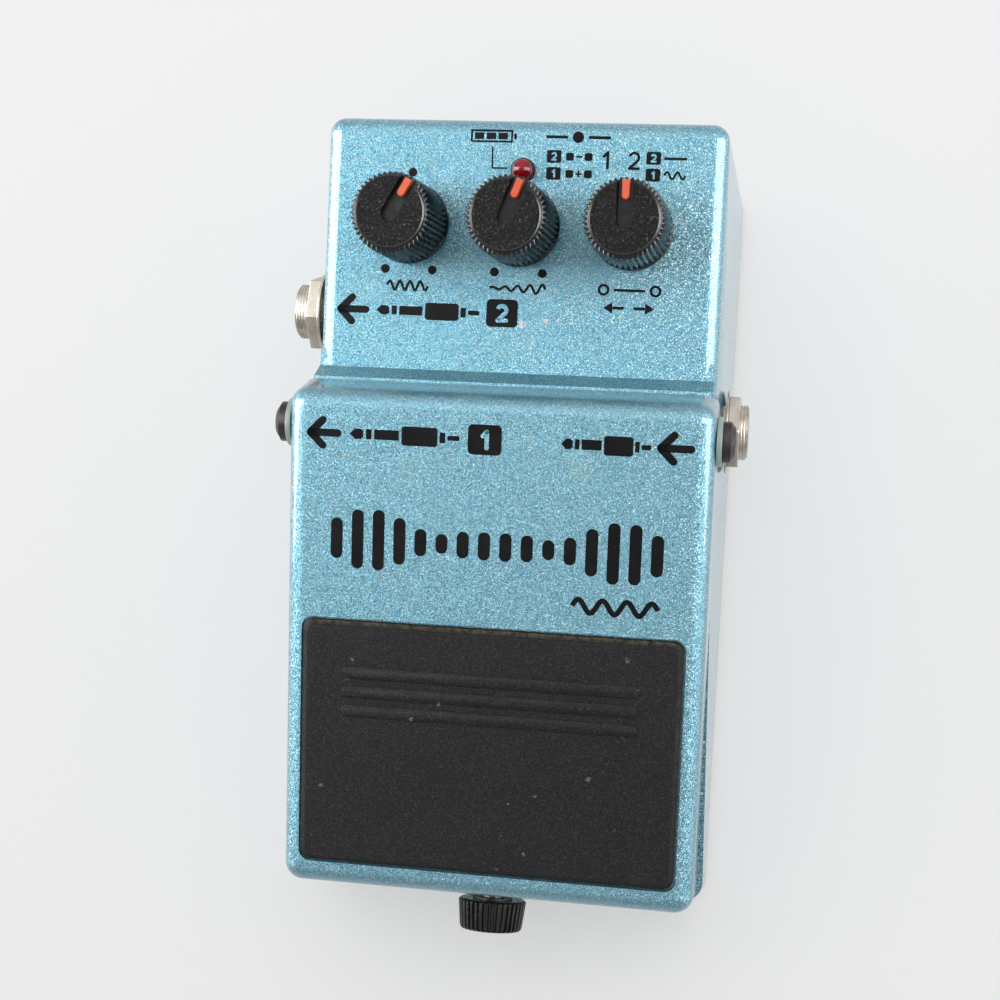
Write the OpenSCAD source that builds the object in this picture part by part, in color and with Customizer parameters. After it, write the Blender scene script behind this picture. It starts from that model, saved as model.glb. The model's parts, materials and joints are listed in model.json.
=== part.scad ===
// Compact floor pedal for an electric instrument: a die-cast case with a recessed control
// panel, a hinged foot plate over the battery well, and the electronics under the panel.
// Frame: origin at the centre of the underside, +X right, +Y to the rear, +Z up.

/* [Case] */
// Width of the case at its foot
case_w = 71.8; // [71.4:0.2:73]
// Depth of the case, front to rear
body_d = 129; // [128.6:0.2:130]
// Width across the control panel
panel_w = 67.6; // [67:0.2:68]
// Height of the control panel at its front edge
panel_front_z = 35.2; // [35:0.1:35.6]
// Height of the control panel at the rear edge
panel_rear_z = 42.5; // [42:0.1:43]
// Rounding along the panel's outer edges
panel_round = 2.8; // [2.4:0.1:3]
// Height of the narrow ledge between the panel and the foot plate
ledge_z = 38.3; // [38:0.1:38.4]

/* [Foot plate] */
// Width of the foot plate
treadle_w = 69.2; // [69:0.1:69.6]
// Height of the foot plate's top at the front edge
treadle_front_z = 27.8; // [27.4:0.1:28.2]
// Height of the foot plate's top at the rear edge
treadle_rear_z = 49.5; // [49.2:0.1:49.8]
// Length of the foot plate's top, front to rear
treadle_d = 79.9; // [79.6:0.1:80]
// Rounding of the foot plate's edges and corners
treadle_round = 3.2; // [2.8:0.1:3.4]
// How far the foot plate tips when pressed, in degrees
press_deg = 2; // [1.6:0.1:2]
// Width of the rubber pad
pad_w = 62.4; // [61:0.2:62.6]
// Length of the rubber pad along the slope
pad_l = 41.1; // [40:0.1:41.3]

/* [Hinge] */
// Distance of the hinge axis behind the middle of the case
pivot_y = 11.3; // [11.2:0.1:11.4]
// Height of the hinge axis
pivot_z = 42.3; // [42.2:0.1:42.5]
// Diameter of the hinge screws' heads
pivot_head_d = 6.6; // [6.2:0.1:7]

/* [Controls] */
// Distance between neighbouring knobs
knob_pitch = 18.7; // [18.5:0.1:19]
// Distance of the knobs behind the middle of the case
knob_y = 46.4; // [46:0.1:46.6]
// Diameter over the knobs' ribs at the foot
knob_d = 13.6; // [13:0.1:14]
// Height of the knobs' tops above the panel
knob_h = 16.4; // [16:0.1:16.8]
// Number of ribs round a knob
knob_ribs = 45; // [40:1:50]
// Where the rate knob points, clockwise from the rear, in degrees
rate_rest = 29; // [20:1:40]
// Where the depth knob points, clockwise from the rear, in degrees
depth_rest = 20; // [10:1:30]

/* [Sockets] */
// Diameter of the plug that fits the three audio sockets
plug_d = 6.4; // [6.3:0.05:6.5]
// Diameter of the sockets' threaded collars
collar_d = 9.3; // [9.1:0.1:9.4]
// Diameter of the power plug's hole
power_hole_d = 5.6; // [5.5:0.1:5.8]

/* [Thumbscrew] */
// Diameter of the thumbscrew's knurled head at the wall side
thumb_d = 11.7; // [11.4:0.1:11.8]
// Length of the thumbscrew's head
thumb_l = 5.3; // [5:0.1:5.4]
// Height of the thumbscrew's axis
thumb_z = 16; // [15.9:0.1:16.1]

/* [Hidden] */
$fn = 48;
eps = 0.05;

// --- case: heights and slopes
half_d = body_d / 2;
half_w = case_w / 2;
sole_t = 1.5;                       // rubber sole
plate_t = 1.2;                      // steel base plate
case_z0 = sole_t + plate_t;         // foot of the casting
corner_r = 3.5;                     // plan corners
panel_front_y = 22.4;
panel_a = atan((panel_rear_z - panel_front_z) / (half_d - panel_front_y));
panel_t = 2.4;
ledge_y = 20;                       // rear edge of the ledge
ledge_w = 0.7;
step_t = 1.8;                       // wall under the ledge
cavity_w = 63.4;                    // electronics space
wall_rear_t = 2.5;

// --- foot plate
treadle_a = atan((treadle_rear_z - treadle_front_z) / treadle_d);
treadle_t = 2.6;
treadle_wall = 2.2;
treadle_end_y = treadle_d - half_d; // rear edge of the top
rear_lip_y = 18.7;                  // rearmost point of the sloping rear wall
rear_lip_z = 42.7;
skirt_r = 8.4;                      // round end of the skirt below the hinge
skirt_front_z = 11.2;
pivot_to_front = pivot_y + half_d;
skirt_drop = pivot_z - skirt_front_z;
skirt_a = acos(skirt_r / norm([pivot_to_front, skirt_drop])) - atan2(pivot_to_front, skirt_drop);
play = 0.5;                         // gap kept between foot plate and case
inner_w = treadle_w - 2 * treadle_wall;
well_wall = 2;                      // walls that stand inside the skirt
well_out_w = inner_w - 1.4;
well_in_w = well_out_w - 2 * well_wall;
front_wall_y = -60.9;               // outer face of the wall that holds the guide bush

// --- wells and decks
battery_z = case_z0 + 1.2;
battery_y0 = -58.9;
battery_y1 = -29.5;
deck_y0 = -27.5;
deck_y1 = -2;
deck_z = 18;
deck_t = 2;
hinge_deck_z = 32.5;
divider_z = 24;
lead_hole_x = 22;
lead_hole_z = 21.1;

// --- hinge hardware
bush_t = 0.9;
head_t = 2;
shank_r = 2;
run_fit = 0.05;
ear_r = 2.95;

// --- footswitch and spring
switch_x = 12;
switch_y = -20;
spring_x = -12;
spring_y = -18;
spring_r = 5;
spring_wire = 1.1;
switch_lever = pivot_y - switch_y;
plunger_travel = switch_lever * sin(press_deg);
plunger_top = 33.4;

// --- sockets
jack_front_y = 16.9;
jack_front_z = 18.5;
jack_rear_y = 33.7;
jack_rear_z = 26;
jack_tip_x = 39.2;
jack_rear_tip_x = 40.2;
jack_body_x = 30.8;
jack_depth = 27;
power_x = 19;
power_z = 19;

// --- controls
pot_r = 6.5;
pot_h = 6.5;
thread_r = 3.4;
shaft_r = 3;
led_y = 55.6;
led_r = 1.7;
knob_gap = 1;                       // from panel to the knob's foot
knob_top_r = knob_d / 2 - 0.25;
rib_depth = 0.55;
pointer_w = 1.3;
pointer_l = 2.8;
board_depth = 10.2;                 // panel board below the panel's face
main_z = 7.4;

// --- thumbscrew
thumb_y = -66;                      // wall-side face of the head
thumb_pitch = 0.7;
thumb_turns = 1.75;
pin_r = 1.5;
tip_y = front_wall_y - 0.3;
thumb_drop = (pivot_to_front - 3.5) * sin(press_deg);

// height of the foot plate's top at a given depth
function treadle_z(y) = treadle_front_z + (y + half_d) * tan(treadle_a);
// height of the control panel at a given depth
function panel_z(y) = panel_front_z + (y - panel_front_y) * tan(panel_a);
// height of a line through the hinge's surroundings: r from the axis, at slope a
function hinge_line(y, r, a) = pivot_z + r / cos(a) + (y - pivot_y) * tan(a);
under_r = (treadle_z(pivot_y) - pivot_z) * cos(treadle_a) - treadle_t;
function treadle_under(y) = hinge_line(y, under_r, treadle_a);
function well_top(y) = hinge_line(y, under_r - play - 0.1, treadle_a + press_deg + 0.3);
function rebate(y) = hinge_line(y, -skirt_r - play, skirt_a + press_deg + 0.3);
// half the case's width at a given height, from its foot to the panel
function case_half(z) = half_w - (z - case_z0) * (half_w - panel_w / 2) / (36 - case_z0);
// corners of a rounded rectangle
function rounded(w, d, r, n = 9) = [
  for (q = [0:3], i = [0:n])
    let (sx = (q == 0 || q == 3) ? 1 : -1, sy = q < 2 ? 1 : -1, a = 90 * q + 90 * i / n)
    [sx * (w / 2 - r) + r * cos(a), sy * (d / 2 - r) + r * sin(a)]
];
// rings of a round tube along a route, and its skin
function unit(v) = v / norm(v);
function ring(p, dir, r, n) =
  let (u = unit(cross(dir, [0.31, 0.17, 0.93])), v = cross(dir, u))
  [for (i = [0:n - 1]) p + r * (cos(360 * i / n) * u + sin(360 * i / n) * v)];
function curve(pts, n) = [
  for (k = [0:len(pts) - 2], i = [0:n - 1])
    let (t = i / n, a = pts[max(k - 1, 0)], b = pts[k], c = pts[k + 1],
         d = pts[min(k + 2, len(pts) - 1)])
    0.5 * (2 * b + (c - a) * t + (2 * a - 5 * b + 4 * c - d) * t * t
           + (3 * b - a - 3 * c + d) * t * t * t),
  pts[len(pts) - 1]
];

module tube(pts, r, n = 8, steps = 3) {
  path = curve(pts, steps);
  m = len(path);
  dirs = [for (i = [0:m - 1]) unit(path[min(i + 1, m - 1)] - path[max(i - 1, 0)])];
  points = [for (i = [0:m - 1]) each ring(path[i], dirs[i], r, n)];
  sides = [for (i = [0:m - 2], j = [0:n - 1])
    let (a = i * n + j, b = i * n + (j + 1) % n)
    [[a, b, b + n], [a, b + n, a + n]]];
  polyhedron(points, concat([[for (j = [n - 1:-1:0]) j]], [for (s = sides) each s],
    [[for (j = [0:n - 1]) (m - 1) * n + j]]));
}

module slab(w, d, r, z, t = 0.1) translate([0, 0, z]) linear_extrude(t) polygon(rounded(w, d, r));
// a side view in depth and height, swept across a width
module across(w) translate([-w / 2, 0, 0]) rotate([90, 0, 90]) linear_extrude(w) children();
module box(x, y, z) translate([x[0], y[0], z[0]]) cube([x[1] - x[0], y[1] - y[0], z[1] - z[0]]);
module mid_box(w, y, z) box([-w / 2, w / 2], y, z);
module on_panel(x, y, depth = 0)
  translate([x, y, panel_z(y)]) rotate([panel_a, 0, 0]) translate([0, 0, -depth]) children();
module on_treadle(x, y)
  translate([x, y, treadle_z(y)]) rotate([treadle_a, 0, 0]) children();
// a cylinder along X from x0 to x1
module rod_x(x0, x1, y, z, r) translate([x0, y, z]) rotate([0, 90, 0]) cylinder(r = r, h = x1 - x0);
module rod_y(y0, y1, x, z, r) translate([x, y1, z]) rotate([90, 0, 0]) cylinder(r = r, h = y1 - y0);
module both_sides() for (s = [0, 1]) mirror([s, 0, 0]) children();
knob_xs = [-knob_pitch, 0, knob_pitch];

// ---------------------------------------------------------------- case

module case_prism() hull() {
  slab(case_w, body_d, corner_r, case_z0);
  slab(2 * case_half(46), body_d, corner_r, 46);
}

module head_block() {
  sink = panel_round / cos(panel_a);
  x = panel_w / 2 - panel_round;
  intersection() {
    hull() {
      for (y = [10, half_d - panel_round])
        for (sx = [-1, 1])
          translate([sx * x, y, panel_z(y) - sink]) sphere(panel_round, $fn = 48);
      slab(2 * case_half(case_z0), body_d, corner_r, case_z0);
    }
    mid_box(80, [ledge_y - ledge_w, half_d + 1], [0, 60]);
  }
}

module lower_walls() intersection() {
  case_prism();
  across(80) polygon([
    [-half_d - 1, case_z0], [ledge_y, case_z0], [ledge_y, rebate(17)], [17, rebate(17)],
    [-half_d - 1, rebate(-half_d - 1)]
  ]);
}

module step_wall() across(2 * case_half(37) - 0.6) polygon([
  [ledge_y - ledge_w - step_t, 30], [panel_front_y + 3, 30], [panel_front_y + 3, panel_front_z],
  [panel_front_y, panel_front_z], [ledge_y, ledge_z], [ledge_y - ledge_w, ledge_z],
  [ledge_y - ledge_w, 36.4], [ledge_y - ledge_w - step_t, 34]
]);

module well_walls() {
  y_end = pivot_y - skirt_r - play;
  across(well_out_w) polygon([
    [front_wall_y, case_z0], [19, case_z0], [19, hinge_deck_z], [y_end, hinge_deck_z],
    [y_end, well_top(y_end)], [front_wall_y, well_top(front_wall_y)]
  ]);
  // arms that reach back to the hinge, ahead of the sweep of the foot plate's rear wall
  both_sides() intersection() {
    union() {
      rod_x(well_in_w / 2, well_out_w / 2, pivot_y, pivot_z, ear_r);
      translate([well_in_w / 2, 0, 0]) rotate([90, 0, 90]) linear_extrude(well_wall) polygon([
        [y_end - 1, 30], [6.6, 32.3], [9, 37], [pivot_y + 2, pivot_z - 2.2], [pivot_y, pivot_z],
        [pivot_y - 2, pivot_z + 2.1], [y_end - 1, pivot_z]
      ]);
    }
    across(80) polygon([[0, 20], [30, 20], [30, well_top(30)], [0, well_top(0)]]);
  }
}

module front_boss_spots() for (x = [-32.2, 32.2]) translate([x, -55.5, 0]) children();
module rear_boss_spots() for (x = [-28.9, 28.9]) translate([x, 59.2, 0]) children();

module case_cavities() {
  // battery well, switch well, the way over the divider and the space over the hinge deck
  mid_box(well_in_w, [battery_y0, battery_y1], [battery_z, 60]);
  mid_box(well_in_w, [deck_y0, deck_y1], [deck_z, 60]);
  mid_box(well_in_w, [battery_y1 - 1, deck_y0 + 1], [divider_z, 60]);
  mid_box(well_in_w, [deck_y1 - 1, ledge_y - ledge_w - step_t], [hinge_deck_z, 60]);
  // electronics space, open underneath
  across(cavity_w) polygon([
    [deck_y0, 0], [half_d - wall_rear_t, 0],
    [half_d - wall_rear_t, panel_z(half_d - wall_rear_t) - panel_t / cos(panel_a)],
    [ledge_y + 2.2, panel_z(ledge_y + 2.2) - panel_t / cos(panel_a)], [ledge_y + 0.6, hinge_deck_z - 2],
    [0, hinge_deck_z - 2], [0, deck_z - deck_t], [deck_y0, deck_z - deck_t]
  ]);
}

module case_holes() {
  for (x = knob_xs) on_panel(x, knob_y, 5) cylinder(r = thread_r + 0.2, h = 8);
  on_panel(0, led_y, 5) cylinder(r = 2.1, h = 8);
  both_sides() rod_x(26, 40, jack_front_y, jack_front_z, collar_d / 2 + 0.1);
  rod_x(-40, -26, jack_rear_y, jack_rear_z, collar_d / 2 + 0.1);
  rod_y(60, 66, power_x, power_z, 5.6);
  both_sides() rod_x(28, 34, pivot_y, pivot_z, shank_r + 0.02);
  rod_y(front_wall_y - 1, battery_y0 + 1, 0, 14.7, 4.5);
  front_boss_spots() translate([0, 0, case_z0 - 1]) cylinder(r = 1.27, h = 9);
  rear_boss_spots() translate([0, 0, case_z0 - 1]) cylinder(r = 1.27, h = 9);
  rod_y(battery_y1 - 1, deck_y0 + 1, lead_hole_x, lead_hole_z, 2);
  for (p = board_screw_spots) translate([p[0], p[1], 5]) cylinder(r = 1.27, h = 9);
  for (dx = [-3, 3]) translate([switch_x + dx, switch_y, deck_z - 5]) cylinder(r = 0.9, h = 8);
  for (p = bracket_spots) translate([p[0], p[1], deck_z - 5]) cylinder(r = 1.02, h = 8);
}

module bosses() {
  rear_boss_spots() translate([0, 0, case_z0]) cylinder(r = 4, h = 9.5);
  board_z = main_z + board_t + 0.01;
  for (p = board_screw_spots) translate([p[0], p[1], board_z]) cylinder(r = 2.6, h = 16.5 - board_z);
  for (p = [for (q = board_screw_spots) if (q[1] > 0) q])
    box([p[0] - 1.2, p[0] + 1.2], [p[1], half_d - 1], [board_z, 16]);
}

module case() color([0.5, 0.74, 0.8]) difference() {
  union() {
    difference() {
      union() {
        lower_walls();
        head_block();
        step_wall();
        well_walls();
      }
      case_cavities();
    }
    bosses();
  }
  case_holes();
}

// ---------------------------------------------------------------- underside

module base_plate() color([0.62, 0.63, 0.65]) difference() {
  translate([0, 0, sole_t]) linear_extrude(plate_t) polygon(rounded(case_w - 0.6, body_d - 0.6, corner_r));
  front_boss_spots() cylinder(r = 1.6, h = 5);
  rear_boss_spots() cylinder(r = 1.6, h = 5);
}

module rubber_sole() color([0.1, 0.1, 0.11]) difference() {
  linear_extrude(sole_t) polygon(rounded(case_w - 1, body_d - 1, corner_r));
  front_boss_spots() translate([0, 0, -1]) cylinder(r = 2.7, h = 5);
  rear_boss_spots() translate([0, 0, -1]) cylinder(r = 2.7, h = 5);
}

module base_screw() difference() {
  union() {
    translate([0, 0, 0.4]) cylinder(r = 2.5, h = sole_t - 0.4);
    translate([0, 0, sole_t - 0.1]) cylinder(r = 1.25, h = 7);
  }
  for (a = [0, 90]) rotate([0, 0, a]) translate([-1.5, -0.3, 0]) cube([3, 0.6, 0.9]);
}

module base_screws() color([0.7, 0.7, 0.68]) {
  front_boss_spots() base_screw();
  rear_boss_spots() base_screw();
}

// ---------------------------------------------------------------- hinge and guide

module hinge_screws() color([0.25, 0.23, 0.24]) both_sides() difference() {
  union() {
    rod_x(well_in_w / 2 + 0.2, treadle_w / 2 + bush_t + 0.3, pivot_y, pivot_z, shank_r);
    translate([treadle_w / 2 + bush_t + 0.05, pivot_y, pivot_z]) rotate([0, 90, 0]) {
      cylinder(r = pivot_head_d / 2, h = head_t - 0.7);
      translate([0, 0, head_t - 0.7 - eps]) cylinder(r1 = pivot_head_d / 2, r2 = 2.3, h = 0.75);
    }
  }
  for (a = [0, 90]) translate([treadle_w / 2 + bush_t + 1.1, pivot_y, pivot_z])
    rotate([a + 20, 0, 0]) translate([0, -1.7, -0.4]) cube([2, 3.4, 0.8]);
}

module hinge_bushes() color([0.72, 0.8, 0.78]) both_sides() difference() {
  union() {
    rod_x(treadle_w / 2 - treadle_wall - 0.3, treadle_w / 2 + 0.4, pivot_y, pivot_z, 3.2);
    rod_x(treadle_w / 2 + 0.04, treadle_w / 2 + bush_t, pivot_y, pivot_z, 4);
  }
  rod_x(28, 40, pivot_y, pivot_z, shank_r + run_fit);
}

module guide_bush() color([0.12, 0.12, 0.13]) {
  slot_low = thumb_z - thumb_drop - 0.2;
  difference() {
    rod_y(front_wall_y, battery_y0 + 0.3, 0, 14.7, 4.48);
    rod_y(front_wall_y - 1, battery_y0 + 2, 0, thumb_z + 0.1, pin_r + 0.3);
    rod_y(front_wall_y - 1, battery_y0 + 2, 0, slot_low, pin_r + 0.3);
    box([-pin_r - 0.3, pin_r + 0.3], [front_wall_y - 1, battery_y0 + 2], [slot_low, thumb_z + 0.1]);
  }
}

// ---------------------------------------------------------------- sockets

// an audio socket that points along +X, with its collar's end at tip_x
module audio_jack(y, z, tip_x) color([0.15, 0.15, 0.16]) difference() {
  union() {
    box([tip_x - jack_depth - 3, jack_body_x], [y - 4.6, y + 4.6], [z - 5.5, z + 5.5]);
    box([tip_x - jack_depth - 1, jack_body_x - 3], [y - 3.2, y + 3.2], [z - 7.2, z - 5.4]);
    rod_x(jack_body_x - 1, tip_x - 0.3, y, z, collar_d / 2);
    rod_x(tip_x - 0.4, tip_x, y, z, collar_d / 2 - 0.3);
  }
  rod_x(tip_x - jack_depth, tip_x + 1, y, z, plug_d / 2);
}

module input_jack() audio_jack(jack_front_y, jack_front_z, jack_tip_x);
module output_a_jack() mirror([1, 0, 0]) audio_jack(jack_front_y, jack_front_z, jack_tip_x);
module output_b_jack() mirror([1, 0, 0]) audio_jack(jack_rear_y, jack_rear_z, jack_rear_tip_x);

module ring_x(x0, x1, y, z, r, hole_r) difference() {
  rod_x(x0, x1, y, z, r);
  rod_x(x0 - 1, x1 + 1, y, z, hole_r);
}
module hex_x(x0, x1, y, z, flats, hole_r, turn) difference() {
  translate([x0, y, z]) rotate([turn, 0, 0]) rotate([0, 90, 0])
    cylinder(d = flats / cos(30), h = x1 - x0, $fn = 6);
  rod_x(x0 - 1, x1 + 1, y, z, hole_r);
}
front_wall_x = case_half(jack_front_z - 7) + 0.06;
rear_wall_x = case_half(jack_rear_z - 7) + 0.15;

module jack_washers() color([0.66, 0.64, 0.6]) {
  both_sides()
    ring_x(front_wall_x, front_wall_x + 0.35, jack_front_y, jack_front_z, 7.1, collar_d / 2 + 0.05);
  mirror([1, 0, 0])
    ring_x(rear_wall_x, rear_wall_x + 0.5, jack_rear_y, jack_rear_z, 7.1, collar_d / 2 + 0.05);
}
module jack_nuts() color([0.7, 0.68, 0.62]) {
  hole = collar_d / 2 + 0.03;
  both_sides() hex_x(front_wall_x + 0.35, front_wall_x + 2.35, jack_front_y, jack_front_z, 12, hole, 8);
  mirror([1, 0, 0]) hex_x(rear_wall_x + 0.5, rear_wall_x + 2.6, jack_rear_y, jack_rear_z, 12, hole, 20);
}

module power_jack() color([0.12, 0.12, 0.13]) difference() {
  union() {
    box([power_x - 6.5, power_x + 6.5], [49, 60.5], [power_z - 6.5, power_z + 6.5]);
    rod_y(60, half_d + 0.6, power_x, power_z, 5.5);
  }
  rod_y(50.5, half_d + 2, power_x, power_z, power_hole_d / 2);
}
module power_pin() color([0.75, 0.75, 0.72]) rod_y(50.52, half_d - 1.5, power_x, power_z, 1.05);
module power_jack_nut() color([0.2, 0.2, 0.2]) difference() {
  rod_y(60.5, half_d - wall_rear_t, power_x, power_z, 7.6);
  rod_y(58, half_d + 1, power_x, power_z, 5.53);
}

// ---------------------------------------------------------------- controls and lamp

module led_lens() color([0.8, 0.05, 0.1]) on_panel(0, led_y) {
  translate([0, 0, -2.6]) cylinder(r = led_r, h = 3.6);
  translate([0, 0, 1 - eps]) difference() {
    sphere(led_r);
    translate([-3, -3, -6]) cube(6);
  }
}
module led_legs() color([0.75, 0.75, 0.75]) on_panel(0, led_y, board_depth)
  for (dx = [-0.7, 0.7]) translate([dx, 0, -1.9]) cylinder(r = 0.28, h = board_depth - 2.61 + 1.9);
module led_sleeve() color([0.08, 0.08, 0.09]) on_panel(0, led_y, 5) difference() {
  cylinder(r = 2.05, h = 5.05);
  translate([0, 0, 2.4]) cylinder(r = led_r + 0.02, h = 4);
  for (x = [-0.7, 0.7]) translate([x, 0, -1]) cylinder(r = 0.4, h = 5);
}

module pot(x) on_panel(x, knob_y) difference() {
  union() {
    translate([0, 0, -panel_t - 0.25 - pot_h]) cylinder(r = pot_r, h = pot_h);
    translate([0, 0, -panel_t - 0.4]) cylinder(r = thread_r, h = panel_t + 2.2);
    translate([-4, -pot_r - 1.4, -panel_t - 0.25 - pot_h]) cube([8, 3, 1.6]);
    for (dx = [-2.5, 0, 2.5])
      translate([dx, -5.8, 0.01 - board_depth]) cylinder(r = 0.4, h = board_depth - panel_t - pot_h);
  }
  translate([0, 0, -panel_t - 3]) cylinder(r = shaft_r + run_fit, h = 10);
}
module rate_pot() color([0.7, 0.71, 0.72]) pot(knob_xs[0]);
module depth_pot() color([0.7, 0.71, 0.72]) pot(knob_xs[1]);
module mode_switch() color([0.2, 0.3, 0.45]) pot(knob_xs[2]);

module control_washers() color([0.65, 0.65, 0.62]) for (x = knob_xs) on_panel(x, knob_y, -0.02) difference() {
  cylinder(r = 5.2, h = 0.4);
  translate([0, 0, -1]) cylinder(r = thread_r + 0.03, h = 3);
}
module control_nuts() color([0.7, 0.7, 0.66]) for (x = knob_xs) on_panel(x, knob_y, -0.44) difference() {
  cylinder(d = 9.2 / cos(30), h = 1.5, $fn = 6);
  translate([0, 0, -1]) cylinder(r = thread_r + 0.03, h = 4);
}

shaft_top = 12;
module shaft(x, turn) color([0.75, 0.75, 0.75])
on_panel(x, knob_y, panel_t + 2.8) rotate([0, 0, -turn]) difference() {
  cylinder(r = shaft_r, h = panel_t + 2.8 + shaft_top);
  translate([-4, -4 - 1.5, panel_t + 7]) cube([8, 4, 12]);
}
module rate_shaft() shaft(knob_xs[0], rate_rest);
module depth_shaft() shaft(knob_xs[1], depth_rest);
module mode_shaft() shaft(knob_xs[2], 0);

// outline of the ribbed flank: a tooth and a root for each rib
function rib_outline(r) = [for (i = [0:2 * knob_ribs - 1])
  let (rr = i % 2 == 0 ? r : r - rib_depth, a = 180 * i / knob_ribs)
  [rr * sin(a), rr * cos(a)]];

module knob(x, turn) color([0.07, 0.07, 0.075]) on_panel(x, knob_y) rotate([0, 0, -turn]) difference() {
  union() {
    translate([0, 0, knob_gap]) cylinder(r = knob_d / 2, h = 1.2);
    translate([0, 0, knob_gap + 1]) linear_extrude(knob_h - knob_gap - 2.4) polygon(rib_outline(knob_top_r));
    translate([0, 0, knob_h - 1.5]) cylinder(r1 = knob_top_r - rib_depth, r2 = knob_top_r - 1, h = 1.2);
    translate([0, 0, knob_h - 0.4]) cylinder(r = knob_top_r - 1, h = 0.4);
  }
  // bush for the shaft, with its flat, and the recess over the nut
  difference() {
    translate([0, 0, -1]) cylinder(r = shaft_r + 0.01, h = shaft_top + 1.1);
    translate([-4, -5.51, 4.25]) cube([8, 4, 20]);
  }
  translate([0, 0, -1]) cylinder(r = 5.7, h = 4.6);
  // seat of the pointer
  translate([-pointer_w / 2, knob_top_r - pointer_l, knob_h - 1.3]) cube([pointer_w, pointer_l + 1, 3]);
}
module rate_knob() knob(knob_xs[0], rate_rest);
module depth_knob() knob(knob_xs[1], depth_rest);
module mode_knob() knob(knob_xs[2], 0);

module pointer(x, turn) color([0.95, 0.3, 0.12]) on_panel(x, knob_y) rotate([0, 0, -turn])
  translate([-pointer_w / 2, knob_top_r - pointer_l, knob_h - 1.3])
    cube([pointer_w, pointer_l - 0.5, 1.05]);
module rate_pointer() pointer(knob_xs[0], rate_rest);
module depth_pointer() pointer(knob_xs[1], depth_rest);
module mode_pointer() pointer(knob_xs[2], 0);

// ---------------------------------------------------------------- electronics

main_y = [-25.5, 52.5];
board_tongue = [[-16, 13], [52, 61.4]];
board_t = 1.6;
board_screw_spots = [[-24, -22], [24, -22], [-12, 58], [9, 58]];
module main_board() color([0.72, 0.6, 0.25]) difference() {
  union() {
    mid_box(60, main_y, [main_z, main_z + board_t]);
    box(board_tongue[0], board_tongue[1], [main_z, main_z + board_t]);
  }
  for (p = board_screw_spots) translate([p[0], p[1], 0]) cylinder(r = 1.3, h = 20);
}
module board_screws() color([0.72, 0.72, 0.7]) for (p = board_screw_spots) translate([p[0], p[1], 0]) {
  translate([0, 0, main_z - 1.51]) cylinder(r = 2.4, h = 1.5);
  translate([0, 0, main_z - 0.1]) cylinder(r = 1.25, h = 6);
}

// centre, length and width of each chip
chips = [[-6, 34, 19, 6.4], [9, 32, 10, 6.4], [10, 44, 10, 6.4], [-10, 0, 10, 6.4], [8, 0, 10, 6.4]];
module main_chips() color([0.1, 0.1, 0.1]) for (c = chips)
  translate([c[0] - c[2] / 2, c[1] - c[3] / 2, main_z + board_t]) difference() {
    translate([0, 0, 0.01]) cube([c[2], c[3], 3.4]);
    translate([-1, c[3] / 2 - 0.6, 3]) cube([1.9, 1.2, 2]);
  }

// place, radius and height of each capacitor
caps = [[-25, 43, 3.1, 7], [0, 20, 2.5, 6], [22, 41, 4, 8], [20, 27, 2.5, 6], [0, 42, 2, 5],
        [-20, 4, 2.5, 5], [20, -12, 3.1, 5.5], [-4, -14, 2, 5], [4, -14, 2, 5], [-20, -10, 3.1, 5.5]];
module main_capacitors() color([0.12, 0.16, 0.4]) for (c = caps)
  translate([c[0], c[1], main_z + board_t + 0.01]) difference() {
    cylinder(r = c[2], h = c[3]);
    for (a = [0, 90]) rotate([0, 0, a]) translate([-c[2], -0.12, c[3] - 0.2]) cube([2 * c[2], 0.24, 1]);
  }

module panel_board() color([0.72, 0.6, 0.25]) on_panel(0, knob_y, board_depth + board_t) difference() {
  translate([-28.5, -6.6, 0]) cube([57, 18.2, board_t]);
  for (x = [-0.7, 0.7]) translate([x, led_y / cos(panel_a) - knob_y / cos(panel_a), -1]) cylinder(r = 0.5, h = 5);
}

// straight wires from the sockets and the footswitch down to the main board
module connecting_wires() color([0.2, 0.45, 0.3]) {
  z0 = main_z + board_t + 0.01;
  for (sx = [-1, 1], dx = [18, 23], dy = [-1.5, 1.5]) translate([sx * dx, jack_front_y + dy, z0])
    cylinder(r = 0.45, h = jack_front_z - 7.21 - z0);
  for (dx = [18, 23], dy = [-1.5, 1.5]) translate([-dx, jack_rear_y + dy, z0])
    cylinder(r = 0.45, h = jack_rear_z - 7.21 - z0);
  for (dx = [-3, 0, 3]) translate([power_x + dx, 50.5, z0])
    cylinder(r = 0.45, h = power_z - 6.51 - z0);
  for (dx = [-3, 3]) translate([switch_x + dx, switch_y, z0])
    cylinder(r = 0.45, h = deck_z + 1.59 - z0);
}

module ribbon_cable() color([0.75, 0.75, 0.7]) {
  foot_z = main_z + board_t;
  box([-6, 4], [56.2, 57.1], [foot_z + 2, 28.9]);
  box([-6, 4], [51, 57.1], [foot_z + 1.2, foot_z + 2.1]);
  box([-6, 4], [50.2, 52], [foot_z + 0.02, foot_z + 4]);
}

module insulating_sheet() color([0.85, 0.82, 0.7]) mid_box(60, [-26, 53], [case_z0 + 0.1, case_z0 + 0.4]);

// ---------------------------------------------------------------- battery

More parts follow.
